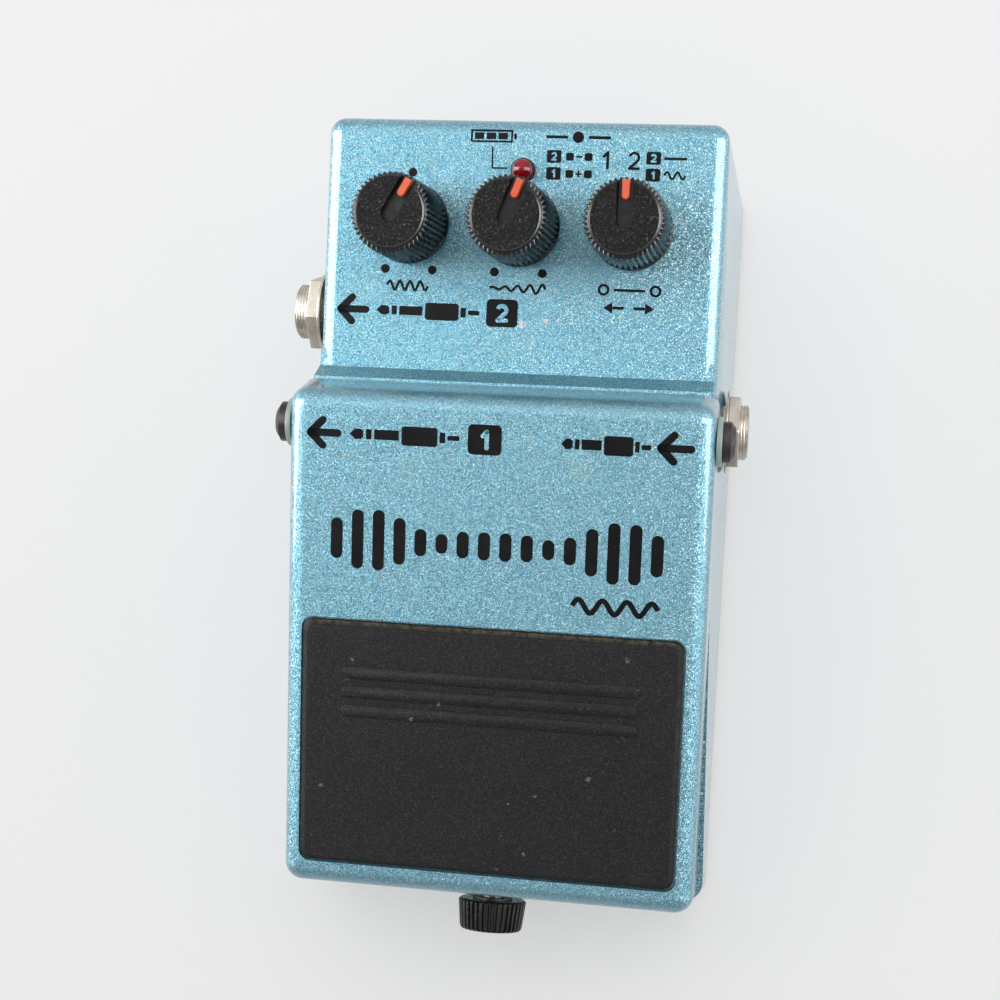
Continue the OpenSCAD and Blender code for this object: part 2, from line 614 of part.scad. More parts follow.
bat = [48.5, 26, 17];
bat_x0 = -28.6;
bat_y0 = -57.9;
module battery() color([0.15, 0.15, 0.17]) {
  translate([bat_x0, bat_y0 + bat[1] / 2, battery_z + 0.1 + bat[2] / 2]) rotate([90, 0, 90])
    linear_extrude(bat[0] - 2.5) polygon(rounded(bat[1], bat[2], 2));
  for (dy = [-6.4, 6.4])
    rod_x(bat_x0 + bat[0] - 2.6, bat_x0 + bat[0], bat_y0 + bat[1] / 2 + dy, battery_z + 0.1 + bat[2] / 2, 3);
}
module battery_clip() color([0.1, 0.1, 0.1]) difference() {
  box([bat_x0 + bat[0] - 2.3, bat_x0 + bat[0] + 2.6], [bat_y0 + 1, bat_y0 + bat[1] - 1],
      [battery_z + 3, battery_z + 14.2]);
  for (dy = [-6.4, 6.4])
    rod_x(bat_x0 + bat[0] - 4, bat_x0 + bat[0] + 0.2, bat_y0 + bat[1] / 2 + dy, battery_z + 0.1 + bat[2] / 2, 3.1);
}
lead_x = bat_x0 + bat[0] + 2.5;
module battery_lead(dz, colour) color(colour) tube([
  [lead_x + 0.25, -38, 12 + dz], [lead_x + 1.4, -38, 12 + dz], [lead_x + 2.4, -36, 13 + dz],
  [lead_x + 2.4, -32.5, 18 + dz], [lead_hole_x + 0.4 * dz, -30.8, lead_hole_z + 0.35 * dz],
  [lead_hole_x + 0.4 * dz, -26, lead_hole_z + 0.35 * dz]
], 0.55);
module battery_leads() {
  battery_lead(1.2, [0.8, 0.1, 0.1]);
  battery_lead(-1.2, [0.1, 0.1, 0.1]);
}
module battery_foam() color([0.3, 0.3, 0.32])
  box([-22, 8], [battery_y0 + 0.4, battery_y0 + 0.95], [battery_z + 2, battery_z + 15]);
module lead_grommet() color([0.08, 0.08, 0.08]) difference() {
  union() {
    rod_y(battery_y1, deck_y0 + 0.8, lead_hole_x, lead_hole_z, 1.98);
    rod_y(deck_y0 + 0.01, deck_y0 + 0.8, lead_hole_x, lead_hole_z, 2.9);
  }
  rod_y(battery_y1 - 1, deck_y0 + 2, lead_hole_x, lead_hole_z, 1.35);
}

// ---------------------------------------------------------------- footswitch and spring

bracket_spots = [[switch_x - 9.5, switch_y], [switch_x + 9.5, switch_y]];
module footswitch_bracket() color([0.66, 0.67, 0.68]) difference() {
  union() {
    box([switch_x - 12, switch_x + 12], [switch_y - 5, switch_y + 5], [deck_z + 0.01, deck_z + 1]);
    for (s = [-1, 1]) box([switch_x + s * 6.7 - 0.4, switch_x + s * 6.7 + 0.4],
      [switch_y - 5, switch_y + 5], [deck_z + 0.5, deck_z + 10.4]);
    box([switch_x - 7.1, switch_x + 7.1], [switch_y - 5, switch_y + 5], [deck_z + 9.4, deck_z + 10.4]);
  }
  translate([switch_x, switch_y, deck_z + 5]) cylinder(r = 3.05, h = 10);
  for (p = bracket_spots) translate([p[0], p[1], deck_z - 5]) cylinder(r = 1.1, h = 8);
  for (dx = [-3, 3]) translate([switch_x + dx, switch_y, deck_z - 5]) cylinder(r = 0.9, h = 8);
}
module bracket_screws() color([0.7, 0.7, 0.68]) for (p = bracket_spots) translate([p[0], p[1], deck_z + 1.01]) {
  cylinder(r = 1.9, h = 1.1);
  translate([0, 0, -4.8]) cylinder(r = 1, h = 4.9);
}
module footswitch_body() color([0.12, 0.12, 0.13]) translate([switch_x, switch_y, 0]) difference() {
  union() {
    box([-5.9, 5.9], [-4.9, 4.9], [deck_z + 1.6, deck_z + 9.38]);
    translate([0, 0, deck_z + 9]) cylinder(r = 3, h = 3.6);
  }
  translate([0, 0, deck_z + 5]) cylinder(r = 1.9 + run_fit, h = 10);
}
module footswitch_nut() color([0.7, 0.7, 0.68]) translate([switch_x, switch_y, deck_z + 10.42]) difference() {
  cylinder(d = 8 / cos(30), h = 1.6, $fn = 6);
  translate([0, 0, -1]) cylinder(r = 3.03, h = 4);
}
module footswitch_plunger() color([0.85, 0.85, 0.82]) translate([switch_x, switch_y, 0]) {
  translate([0, 0, deck_z + 7]) cylinder(r = 1.9, h = plunger_top - deck_z - 7.5);
  translate([0, 0, plunger_top - 0.6]) cylinder(r = 1.6, h = 0.6);
}

spring_z0 = deck_z + 1.2;
spring_z1 = treadle_under(spring_y) - 1.4;
module spring_seat() color([0.1, 0.1, 0.11]) translate([spring_x, spring_y, deck_z + 0.01]) {
  cylinder(r = spring_r + 1, h = 1.15);
  cylinder(r = spring_r - spring_wire - 0.3, h = 4);
}
module treadle_spring() color([0.75, 0.76, 0.78]) translate([spring_x, spring_y, spring_z0]) difference() {
  cylinder(r = spring_r, h = spring_z1 - spring_z0);
  translate([0, 0, -1]) cylinder(r = spring_r - spring_wire, h = 40);
}

// ---------------------------------------------------------------- foot plate

// centre height of the edge spheres at depth y, tangent to the top
function edge_z(y) = treadle_z(y) - treadle_round / cos(treadle_a);
module treadle_outer() {
  r = treadle_round;
  x = treadle_w / 2 - r;
  lip_dir = unit([rear_lip_y - treadle_end_y, rear_lip_z - treadle_rear_z]);
  lip_in = [lip_dir[1], -lip_dir[0]];
  // where the line r inside the sloping rear wall meets the line r inside the top
  start = [treadle_end_y, treadle_rear_z] + r * lip_in;
  t = (start[1] - edge_z(start[0])) / (lip_dir[0] * tan(treadle_a) - lip_dir[1]);
  rear_top = start + t * lip_dir;
  rear_low = rear_top + 16 * lip_dir;
  hull() {
    for (sx = [-1, 1]) {
      for (p = [rear_top, rear_low]) translate([sx * x, p[0], p[1]]) sphere(r, $fn = 48);
      translate([sx * x, r - half_d, edge_z(r - half_d)]) sphere(r, $fn = 48);
      translate([sx * x, r - half_d, 5]) cylinder(r = r, h = 1, $fn = 48);
      translate([sx * x, 8, 5]) cylinder(r = r, h = 1, $fn = 48);
    }
  }
}
module treadle_inner() across(inner_w) polygon([
  [2 - half_d, 0], [2 - half_d, treadle_under(2 - half_d)],
  [treadle_end_y - 2.6, treadle_under(treadle_end_y - 2.6)],
  [rear_lip_y - 2, rear_lip_z], [rear_lip_y - 2, 0]
]);
// all that lies below the skirt's edge and behind its round end
module below_skirt() difference() {
  across(90) polygon([
    [-half_d - 5, 0], [rear_lip_y + 12, 0], [rear_lip_y + 12, 60], [rear_lip_y, 60],
    [rear_lip_y, pivot_z + 0.6], [pivot_y, pivot_z], 
    [pivot_y + skirt_r * sin(skirt_a), pivot_z - skirt_r * cos(skirt_a)],
    [-half_d - 5, hinge_line(-half_d - 5, -skirt_r, skirt_a)]
  ]);
  rod_x(-50, 50, pivot_y, pivot_z, skirt_r);
}
module behind_lip() mid_box(90, [rear_lip_y, rear_lip_y + 15], [0, 60]);

pad_y = (-60.6 - 20.9) / 2;
module pad_recess() on_treadle(0, pad_y) translate([0, 0, -1.1])
  linear_extrude(5) polygon(rounded(pad_w + 0.8, pad_l + 0.9, 1.9));

module treadle() color([0.5, 0.74, 0.8]) difference() {
  union() {
    difference() {
      treadle_outer();
      treadle_inner();
    }
    // boss that carries the pusher, and the pin that centres the spring
    translate([switch_x, switch_y, 35.2]) cylinder(r = 4.6, h = 3.4);
    translate([spring_x, spring_y, spring_z1 - 2.4]) cylinder(r = 3.2, h = 5);
  }
  below_skirt();
  behind_lip();
  pad_recess();
  both_sides() rod_x(30, 40, pivot_y, pivot_z, 3.2 + run_fit);
  rod_y(-half_d - 1, 5 - half_d, 0, thumb_z, 2.05);
  translate([switch_x, switch_y, 30]) cylinder(r = 2.42, h = 6.8);
}

module treadle_pad() color([0.17, 0.18, 0.18]) on_treadle(0, pad_y) {
  translate([0, 0, -1.08]) linear_extrude(1.3) polygon(rounded(pad_w, pad_l, 1.7));
  translate([0, 0, 0.2]) linear_extrude(0.75) polygon(rounded(pad_w - 1.4, pad_l - 1.4, 1.5));
}
module treadle_pusher() color([0.1, 0.1, 0.1]) translate([switch_x, switch_y, plunger_top + 0.15]) {
  cylinder(r = 3.6, h = 35.18 - plunger_top - 0.15);
  translate([0, 0, 0.5]) cylinder(r = 2.4, h = 36.6 - plunger_top - 0.65);
}

// ---------------------------------------------------------------- thumbscrew

thumb_ribs = 36;
module thumbscrew_head() color([0.09, 0.09, 0.1]) difference() {
  union() {
    translate([0, thumb_y, thumb_z]) rotate([90, 0, 0])
      cylinder(r1 = thumb_d / 2 - 0.4, r2 = thumb_d / 2 - 1, h = thumb_l);
    translate([0, thumb_y, thumb_z]) rotate([90, 0, 0]) for (i = [0:thumb_ribs - 1])
      rotate([0, 0, 360 * i / thumb_ribs]) translate([0, thumb_d / 2 - 0.55, 0]) rotate([3.4, 0, 0])
        translate([-0.25, -0.3, 0.1]) cube([0.5, 0.8, thumb_l - 0.5]);
  }
  rod_y(thumb_y - 3.9, thumb_y + 1, 0, thumb_z, pin_r + 0.01);
}
module thumbscrew_shank() color([0.55, 0.55, 0.53]) {
  rod_y(thumb_y - 3.9, tip_y, 0, thumb_z, pin_r);
  rod_y(thumb_y + 0.02, tip_y - 1, 0, thumb_z, 2);
}
module thumbscrew_washer() color([0.1, 0.1, 0.1]) difference() {
  rod_y(thumb_y + 0.02, thumb_y + 0.25, 0, thumb_z, 3.4);
  rod_y(thumb_y - 1, thumb_y + 2, 0, thumb_z, 2.05);
}

case();
base_plate();
rubber_sole();
base_screws();
hinge_screws();
guide_bush();
input_jack();
output_a_jack();
output_b_jack();
jack_washers();
jack_nuts();
power_jack();
power_pin();
power_jack_nut();
led_lens();
led_legs();
led_sleeve();
rate_pot();
depth_pot();
mode_switch();
control_washers();
control_nuts();
main_board();
main_chips();
main_capacitors();
panel_board();
connecting_wires();
ribbon_cable();
board_screws();
insulating_sheet();
battery();
battery_clip();
battery_leads();
battery_foam();
lead_grommet();
footswitch_bracket();
footswitch_body();
footswitch_nut();
bracket_screws();
spring_seat();
treadle_spring();
hinge_bushes();
treadle();
treadle_pad();
treadle_pusher();
footswitch_plunger();
thumbscrew_washer();
thumbscrew_head();
thumbscrew_shank();
rate_shaft();
depth_shaft();
mode_shaft();
rate_knob();
depth_knob();
mode_knob();
rate_pointer();
depth_pointer();
mode_pointer();
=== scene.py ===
import json
import math

import bmesh
import bpy
from mathutils import Matrix, Vector


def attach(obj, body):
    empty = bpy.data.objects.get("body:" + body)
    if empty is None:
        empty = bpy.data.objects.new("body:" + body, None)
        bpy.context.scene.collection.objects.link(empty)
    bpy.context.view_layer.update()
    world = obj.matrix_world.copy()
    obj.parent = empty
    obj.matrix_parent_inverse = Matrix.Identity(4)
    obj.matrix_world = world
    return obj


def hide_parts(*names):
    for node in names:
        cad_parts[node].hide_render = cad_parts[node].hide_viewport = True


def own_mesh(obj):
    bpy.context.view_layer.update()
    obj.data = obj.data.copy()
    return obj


with open("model.json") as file:
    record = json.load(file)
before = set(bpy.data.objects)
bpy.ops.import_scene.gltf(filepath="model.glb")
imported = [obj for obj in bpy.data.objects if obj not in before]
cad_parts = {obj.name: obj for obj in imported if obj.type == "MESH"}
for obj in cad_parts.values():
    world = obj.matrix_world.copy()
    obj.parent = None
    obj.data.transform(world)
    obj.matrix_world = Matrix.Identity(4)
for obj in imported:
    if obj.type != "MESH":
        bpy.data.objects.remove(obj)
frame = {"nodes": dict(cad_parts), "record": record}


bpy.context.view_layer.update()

MM = 0.001

# the part's own measures, in millimetres and degrees: y and z where the control panel and the foot
# plate's top start at the front, and how far each rises over its depth
PANEL_Y, PANEL_Z, PANEL_RISE, PANEL_DEPTH = 22.4, 35.2, 7.3, 42.1
TREADLE_Y, TREADLE_Z, TREADLE_RISE, TREADLE_DEPTH = -64.5, 27.8, 21.7, 79.9
PANEL_A = math.atan(PANEL_RISE / PANEL_DEPTH)
TREADLE_A = math.atan(TREADLE_RISE / TREADLE_DEPTH)
# each knob's name, its place across the panel and how far it is turned
KNOBS = (("rate", -18.7, 29), ("depth", 0.0, 20), ("mode", 18.7, 0))
KNOB_Y = 46.4
CASE, TREADLE = "case_body", "treadle_body"


def panel_z(y):
    return PANEL_Z + (y - PANEL_Y) * math.tan(PANEL_A)


def treadle_z(y):
    return TREADLE_Z + (y - TREADLE_Y) * math.tan(TREADLE_A)


def on_panel(x, y, up=0.0, turn=0.0):
    return (Matrix.Translation((x, y, panel_z(y))) @ Matrix.Rotation(PANEL_A, 4, "X")
            @ Matrix.Translation((0, 0, up)) @ Matrix.Rotation(-math.radians(turn), 4, "Z"))


def on_treadle(x, y, up=0.0):
    return (Matrix.Translation((x, y, treadle_z(y))) @ Matrix.Rotation(TREADLE_A, 4, "X")
            @ Matrix.Translation((0, 0, up)))


def facing_x(x, y, z, side=1):
    # local +Z points out of the side wall
    return Matrix.Translation((x, y, z)) @ Matrix.Rotation(side * math.pi / 2, 4, "Y")


def facing_front(y, z):
    # local +Z points to the front
    return Matrix.Translation((0, y, z)) @ Matrix.Rotation(math.pi / 2, 4, "X")


# ---------------------------------------------------------------- materials

class Shader:
    """One node material, with the few building blocks that all of them share."""

    def __init__(self, name, color, rough, metallic=0.0, coat=0.0, coat_rough=0.08, spec=0.5):
        self.mat = bpy.data.materials.new(name)
        self.mat.use_nodes = True
        self.tree = self.mat.node_tree
        self.tree.nodes.clear()
        self.out = self.add("ShaderNodeOutputMaterial")
        self.bsdf = self.add("ShaderNodeBsdfPrincipled")
        self.tree.links.new(self.bsdf.outputs[0], self.out.inputs[0])
        self.coord = self.add("ShaderNodeTexCoord").outputs["Object"]
        self.color = color
        self.set("Base Color", (*color, 1))
        self.set("Roughness", rough)
        self.set("Metallic", metallic)
        self.set("Coat Weight", coat)
        self.set("Coat Roughness", coat_rough)
        self.set("Specular IOR Level", spec)
        self.normal = None

    def add(self, kind, **settings):
        node = self.tree.nodes.new(kind)
        for key, value in settings.items():
            setattr(node, key, value)
        return node

    def set(self, socket, value):
        self.bsdf.inputs[socket].default_value = value

    def link(self, a, b):
        self.tree.links.new(a, b)
        return b

    def scaled(self, factors):
        node = self.add("ShaderNodeVectorMath", operation="MULTIPLY")
        node.inputs[1].default_value = factors
        self.link(self.coord, node.inputs[0])
        return node.outputs[0]

    def noise(self, per_mm, detail=3.0, rough=0.55, vector=None):
        node = self.add("ShaderNodeTexNoise")
        node.inputs["Scale"].default_value = per_mm * 1000
        node.inputs["Detail"].default_value = detail
        node.inputs["Roughness"].default_value = rough
        self.link(vector or self.coord, node.inputs["Vector"])
        return node.outputs["Fac"]

    def cells(self, per_mm, output="Distance"):
        node = self.add("ShaderNodeTexVoronoi", feature="F1")
        node.inputs["Scale"].default_value = per_mm * 1000
        self.link(self.coord, node.inputs["Vector"])
        return node.outputs[output]

    def ramp(self, value, low, high, a=0.0, b=1.0):
        node = self.add("ShaderNodeMapRange", clamp=True)
        for i, number in ((1, low), (2, high), (3, a), (4, b)):
            node.inputs[i].default_value = number
        self.link(value, node.inputs[0])
        return node.outputs[0]

    def math(self, op, a, b=None):
        node = self.add("ShaderNodeMath", operation=op)
        for i, value in enumerate((a, b)):
            if value is None:
                continue
            if isinstance(value, (int, float)):
                node.inputs[i].default_value = value
            else:
                self.link(value, node.inputs[i])
        return node.outputs[0]

    def axis(self, number):
        # the object's own x, y or z, in metres
        node = self.add("ShaderNodeSeparateXYZ")
        self.link(self.coord, node.inputs[0])
        return node.outputs[number]

    def vector(self, op, a, b):
        node = self.add("ShaderNodeVectorMath", operation=op)
        for i, value in enumerate((a, b)):
            if isinstance(value, tuple):
                node.inputs[i].default_value = value
            else:
                self.link(value, node.inputs[i])
        return node.outputs[0]

    def mix(self, fac, a, b):
        node = self.add("ShaderNodeMix", data_type="RGBA", blend_type="MIX")
        for i, value in ((0, fac), (6, a), (7, b)):
            if isinstance(value, (int, float)):
                node.inputs[i].default_value = value
            elif isinstance(value, tuple):
                node.inputs[i].default_value = (*value, 1)
            else:
                self.link(value, node.inputs[i])
        return node.outputs[2]

    def base(self, color):
        self.link(color, self.bsdf.inputs["Base Color"])
        return self

    def bump(self, height, depth_mm, strength=1.0):
        node = self.add("ShaderNodeBump")
        node.inputs["Strength"].default_value = strength
        node.inputs["Distance"].default_value = depth_mm * MM
        self.link(height, node.inputs["Height"])
        if self.normal is not None:
            self.link(self.normal, node.inputs["Normal"])
        self.normal = node.outputs[0]
        self.link(self.normal, self.bsdf.inputs["Normal"])
        return self

    def dusty(self, amount=0.15, tint=(0.35, 0.31, 0.25)):
        # faint dust and handling marks
        cloud = self.ramp(self.noise(0.09, 4), 0.5, 0.75, 0, amount)
        fleck = self.ramp(self.cells(0.55), 0.0, 0.06, amount * 1.6, 0)
        return self.base(self.mix(self.math("MAXIMUM", cloud, fleck), self.color, tint))

    def uneven(self, low, high, per_mm=0.35):
        rough = self.ramp(self.noise(per_mm, 4), 0.35, 0.65, low, high)
        self.link(rough, self.bsdf.inputs["Roughness"])
        return self


def blue_paint():
    s = Shader("blue_paint", (0.088, 0.295, 0.405), 0.40, metallic=0.5, coat=1.0, coat_rough=0.09)
    flake = s.cells(8.0, output="Color")
    fine = s.cells(11.0, output="Color")
    split = s.add("ShaderNodeSeparateColor")
    s.link(flake, split.inputs[0])
    bright = s.ramp(split.outputs[0], 0.66, 0.92, 0, 1.0)
    dark = s.ramp(split.outputs[1], 0.08, 0.45, 0.9, 0)
    color = s.mix(bright, s.color, (0.55, 0.76, 0.72))
    color = s.mix(dark, color, (0.03, 0.16, 0.24))
    cloud = s.ramp(s.noise(0.05, 3), 0.4, 0.65, 0, 0.16)
    color = s.mix(cloud, color, (0.11, 0.35, 0.43))
    # in front of y = 16 mm the foot plate is tinted a little greyer and darker than the head
    color = s.mix(s.ramp(s.axis(1), 0.016, 0.020, 0.40, 0), color, (0.11, 0.24, 0.30))
    # yellowish grime that gathers low down and in corners
    grime = s.ramp(s.noise(0.18, 5, 0.6), 0.60, 0.74, 0, 0.22)
    color = s.mix(grime, color, (0.30, 0.42, 0.30))
    # three small chips through to the bare casting, in front of the middle knob
    chip = 0.0
    wobble = s.noise(1.3, 4)
    for x, y, r in ((1.2, 30.4, 0.62), (5.0, 31.1, 0.42), (7.1, 31.35, 0.22)):
        gap = s.add("ShaderNodeVectorMath", operation="DISTANCE")
        s.link(s.coord, gap.inputs[0])
        gap.inputs[1].default_value = (x * MM, y * MM, panel_z(y) * MM)
        distance_mm = s.math("MULTIPLY", gap.outputs["Value"], 1000)
        edge = s.math("ADD", distance_mm, s.math("MULTIPLY", wobble, 0.9))
        chip = s.math("MAXIMUM", chip, s.ramp(edge, r + 0.42, r + 0.5, 1, 0))
    color = s.mix(chip, color, (0.42, 0.43, 0.43))
    s.base(color)
    s.link(s.math("SUBTRACT", 1, chip), s.bsdf.inputs["Coat Weight"])
    # flakes lie at slightly different angles under the clear coat
    geo = s.add("ShaderNodeNewGeometry").outputs["Normal"]
    middle = (0.5, 0.5, 0.5)
    both = s.vector("ADD", s.vector("SUBTRACT", flake, middle), s.vector("SUBTRACT", fine, middle))
    scale = s.add("ShaderNodeVectorMath", operation="SCALE")
    s.link(both, scale.inputs[0])
    scale.inputs["Scale"].default_value = 0.46
    unit = s.add("ShaderNodeVectorMath", operation="NORMALIZE")
    s.link(s.vector("ADD", geo, scale.outputs[0]), unit.inputs[0])
    s.link(unit.outputs[0], s.bsdf.inputs["Normal"])
    orange_peel = s.add("ShaderNodeBump")
    orange_peel.inputs["Distance"].default_value = 0.012 * MM
    orange_peel.inputs["Strength"].default_value = 0.6
    s.link(s.noise(0.9, 3), orange_peel.inputs["Height"])
    s.link(orange_peel.outputs[0], s.bsdf.inputs["Coat Normal"])
    return s.mat


def rubber():
    s = Shader("rubber", (0.010, 0.010, 0.011), 0.6, spec=0.17)
    mottle = s.ramp(s.noise(0.12, 5, 0.6), 0.35, 0.7, 0, 0.5)
    color = s.mix(mottle, (0.004, 0.004, 0.0055), (0.009, 0.009, 0.0105))
    ragged = s.math("ADD", s.cells(0.36), s.ramp(s.noise(2.2, 3), 0.3, 0.7, -0.09, 0.09))
    specks = s.ramp(ragged, 0.10, 0.17, 1, 0)
    few = s.ramp(s.noise(0.30, 2), 0.60, 0.64, 0, 0.7)
    color = s.mix(s.math("MULTIPLY", specks, few), color, (0.22, 0.19, 0.14))
    dust = s.ramp(s.cells(1.6), 0.12, 0.22, 1, 0)
    some = s.ramp(s.noise(0.5, 2), 0.54, 0.64, 0, 0.16)
    color = s.mix(s.math("MULTIPLY", dust, some), color, (0.28, 0.27, 0.25))
    # fine pale grain, and ochre dirt held along the pad's rear edge
    grain = s.ramp(s.noise(3.6, 4, 0.7), 0.50, 0.66, 0, 0.16)
    color = s.mix(grain, color, (0.24, 0.23, 0.22))
    edge = s.ramp(s.axis(1), -0.0219, -0.0209, 0, 1)
    held = s.ramp(s.noise(1.1, 5, 0.7), 0.42, 0.60, 0, 0.7)
    color = s.mix(s.math("MULTIPLY", edge, held), color, (0.16, 0.115, 0.05))
    s.base(color).uneven(0.55, 0.75)
    s.bump(s.noise(2.6, 3), 0.05, 0.7).bump(s.noise(0.3, 2), 0.15, 0.35)
    return s.mat


def knob_plastic():
    s = Shader("knob_plastic", (0.005, 0.005, 0.006), 0.20, spec=0.42)
    return s.dusty(0.10, (0.16, 0.13, 0.10)).uneven(0.18, 0.34, 0.8).mat


def knob_grain_with_painted_glints():
    # coarse leather-like grain: near black, with pale painted highlights on the grain's high tips
    # that stand in for glints
    s = Shader("knob_grain_with_painted_glints", (0.003, 0.003, 0.0035), 0.30, spec=0.10)
    # painted highlights: pale flecks painted on the grain's tips as glints
    painted_glints = s.ramp(s.noise(2.7, 3, 0.6), 0.56, 0.66, 0, 0.75)
    fewer = s.ramp(s.noise(0.5, 2), 0.35, 0.60, 0.45, 1)
    color = s.mix(s.math("MULTIPLY", painted_glints, fewer), s.color, (0.15, 0.145, 0.14))
    handled = s.ramp(s.noise(0.25, 3), 0.58, 0.72, 0, 0.25)
    s.base(s.mix(handled, color, (0.035, 0.03, 0.022)))
    s.uneven(0.20, 0.36, 1.2)
    s.bump(s.noise(2.7, 3, 0.6), 0.35, 0.9)
    return s.mat


def plain(name, color, rough, coat=0.0, grain=2.0, depth=0.02, dust=0.12):
    s = Shader(name, color, rough, coat=coat)
    s.dusty(dust).uneven(max(0.05, rough - 0.08), rough + 0.12)
    s.bump(s.noise(grain, 4), depth, 0.8)
    return s.mat


def metal(name, color, rough, tarnish, amount=0.5, brushed=None, dark=0.0):
    s = Shader(name, color, rough, metallic=1.0)
    spots = s.ramp(s.noise(0.45, 6, 0.65), 0.42, 0.68, 0, amount)
    color_out = s.mix(spots, color, tarnish)
    pits = s.ramp(s.cells(1.6), 0.03, 0.10, dark, 0)
    s.base(s.mix(pits, color_out, (0.10, 0.07, 0.04)))
    s.uneven(rough, rough + 0.22, 0.6)
    vector = s.scaled(brushed) if brushed else None
    s.bump(s.noise(1.8, 3, vector=vector), 0.012, 0.7)
    return s.mat


def lamp_red():
    s = Shader("lamp_red", (0.42, 0.006, 0.02), 0.07, spec=0.35)
    core = s.ramp(s.noise(0.4, 2), 0.3, 0.7, 0, 0.6)
    s.base(s.mix(core, (0.46, 0.006, 0.02), (0.26, 0.002, 0.008)))
    s.set("Transmission Weight", 0.25)
    s.set("Emission Color", (0.5, 0.0, 0.02, 1))
    s.set("Emission Strength", 0.05)
    return s.mat


def circuit_board():
    s = Shader("board_laminate", (0.50, 0.36, 0.12), 0.45, coat=0.2)
    lines = s.math("MODULO", s.math("MULTIPLY", s.noise(0.10, 1, 0.4), 22), 1.0)
    track = s.ramp(lines, 0.35, 0.45, 0, 0.6)
    color = s.mix(track, s.color, (0.30, 0.30, 0.10))
    pads = s.ramp(s.cells(0.35), 0.10, 0.14, 0.8, 0)
    s.base(s.mix(pads, color, (0.62, 0.60, 0.55))).bump(s.noise(0.6, 3), 0.03, 0.5)
    return s.mat


def battery_skin():
    s = Shader("battery_skin", (0.04, 0.04, 0.05), 0.3, metallic=0.3, coat=0.5)
    band = s.ramp(s.axis(0), 0.0065, 0.0067)
    color = s.mix(band, s.color, (0.55, 0.28, 0.10))
    scuff = s.ramp(s.noise(0.5, 5, 0.7), 0.6, 0.72, 0, 0.35)
    s.base(s.mix(scuff, color, (0.4, 0.4, 0.4))).uneven(0.25, 0.5)
    return s.mat


def striped(name, a, b, per_mm, axis):
    s = Shader(name, a, 0.5)
    wave = s.math("SINE", s.math("MULTIPLY", s.axis(axis), per_mm * 1000 * 2 * math.pi))
    s.base(s.mix(s.ramp(wave, -0.2, 0.2), a, b)).bump(wave, 0.15, 0.8)
    return s.mat


def print_ink():
    s = Shader("print_ink", (0.003, 0.0033, 0.004), 0.42, spec=0.12)
    worn = s.ramp(s.noise(0.8, 6, 0.7), 0.66, 0.72, 0, 0.5)
    s.base(s.mix(worn, s.color, (0.06, 0.12, 0.14))).uneven(0.36, 0.5)
    return s.mat


MATERIALS = {
    "blue_paint": blue_paint(),
    "rubber": rubber(),
    "plate_steel": metal("plate_steel", (0.60, 0.60, 0.58), 0.30, (0.42, 0.40, 0.34), 0.4,
                         brushed=(0.12, 1, 1)),
    "dark_screw": metal("dark_screw", (0.055, 0.05, 0.055), 0.28, (0.12, 0.09, 0.07), 0.5,
                        dark=0.2),
    "nickel": metal("nickel", (0.55, 0.51, 0.45), 0.26, (0.30, 0.24, 0.17), 0.65, dark=0.5),
    "bush_plastic": plain("bush_plastic", (0.36, 0.45, 0.41), 0.4),
    "black_plastic": plain("black_plastic", (0.016, 0.016, 0.018), 0.42, depth=0.03, dust=0.2),
    "knob_plastic": knob_plastic(),
    "pointer_orange": plain("pointer_orange", (0.86, 0.11, 0.03), 0.38, grain=1.4, depth=0.05,
                            dust=0.08),
    "lamp_red": lamp_red(),
    "aluminium": metal("aluminium", (0.74, 0.74, 0.75), 0.30, (0.55, 0.55, 0.54), 0.4,
                       brushed=(1, 1, 0.2)),
    "blue_plastic": plain("blue_plastic", (0.03, 0.10, 0.30), 0.4),
    "board_laminate": circuit_board(),
    "chip_plastic": plain("chip_plastic", (0.014, 0.014, 0.016), 0.5, depth=0.04),
    "capacitor_sleeve": plain("capacitor_sleeve", (0.02, 0.03, 0.16), 0.3, coat=0.3),
    "wire_insulation": plain("wire_insulation", (0.03, 0.16, 0.08), 0.4),
    "ribbon": striped("ribbon", (0.50, 0.50, 0.47), (0.30, 0.30, 0.29), 0.79, 0),
    "fibre_sheet": plain("fibre_sheet", (0.62, 0.55, 0.38), 0.8, depth=0.05),
    "battery_skin": battery_skin(),
    "foam": plain("foam", (0.05, 0.05, 0.055), 0.9, grain=1.2, depth=0.4),
    "spring_steel": metal("spring_steel", (0.66, 0.66, 0.68), 0.18, (0.5, 0.47, 0.42), 0.3),
    "brass_pin": metal("brass_pin", (0.70, 0.58, 0.36), 0.25, (0.5, 0.36, 0.2), 0.4),
}
INK = print_ink()
GRAIN_WITH_PAINTED_GLINTS = knob_grain_with_painted_glints()

# ---------------------------------------------------------------- mesh building

def new_piece(name, verts, faces, mat, body, place=None, smooth=32, node=None, slot=None):
    """A mesh in millimetres, moved by place, that rides on a body and may stand for a CAD node."""
    mesh = bpy.data.meshes.new(name)
    mesh.from_pydata([tuple(v) for v in verts], [], [tuple(f) for f in faces])
    return finish_mesh(mesh, name, mat, body, place, smooth, node)


def finish_mesh(mesh, name, mat, body, place=None, smooth=32, node=None):
    mesh.transform(Matrix.Scale(MM, 4) @ (place or Matrix.Identity(4)))
    bm = bmesh.new()
    bm.from_mesh(mesh)
    bmesh.ops.remove_doubles(bm, verts=bm.verts, dist=1e-7)
    bmesh.ops.recalc_face_normals(bm, faces=bm.faces)
    bm.to_mesh(mesh)
    bm.free()
    mesh.shade_smooth()
    mesh.set_sharp_from_angle(angle=math.radians(smooth))
    piece = bpy.data.objects.new(name, mesh)
    bpy.context.scene.collection.objects.link(piece)
    for m in (mat if isinstance(mat, (list, tuple)) else [mat]):
        mesh.materials.append(m)
    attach(piece, body)
    if node:
        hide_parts(*([node] if isinstance(node, str) else node))
    return piece


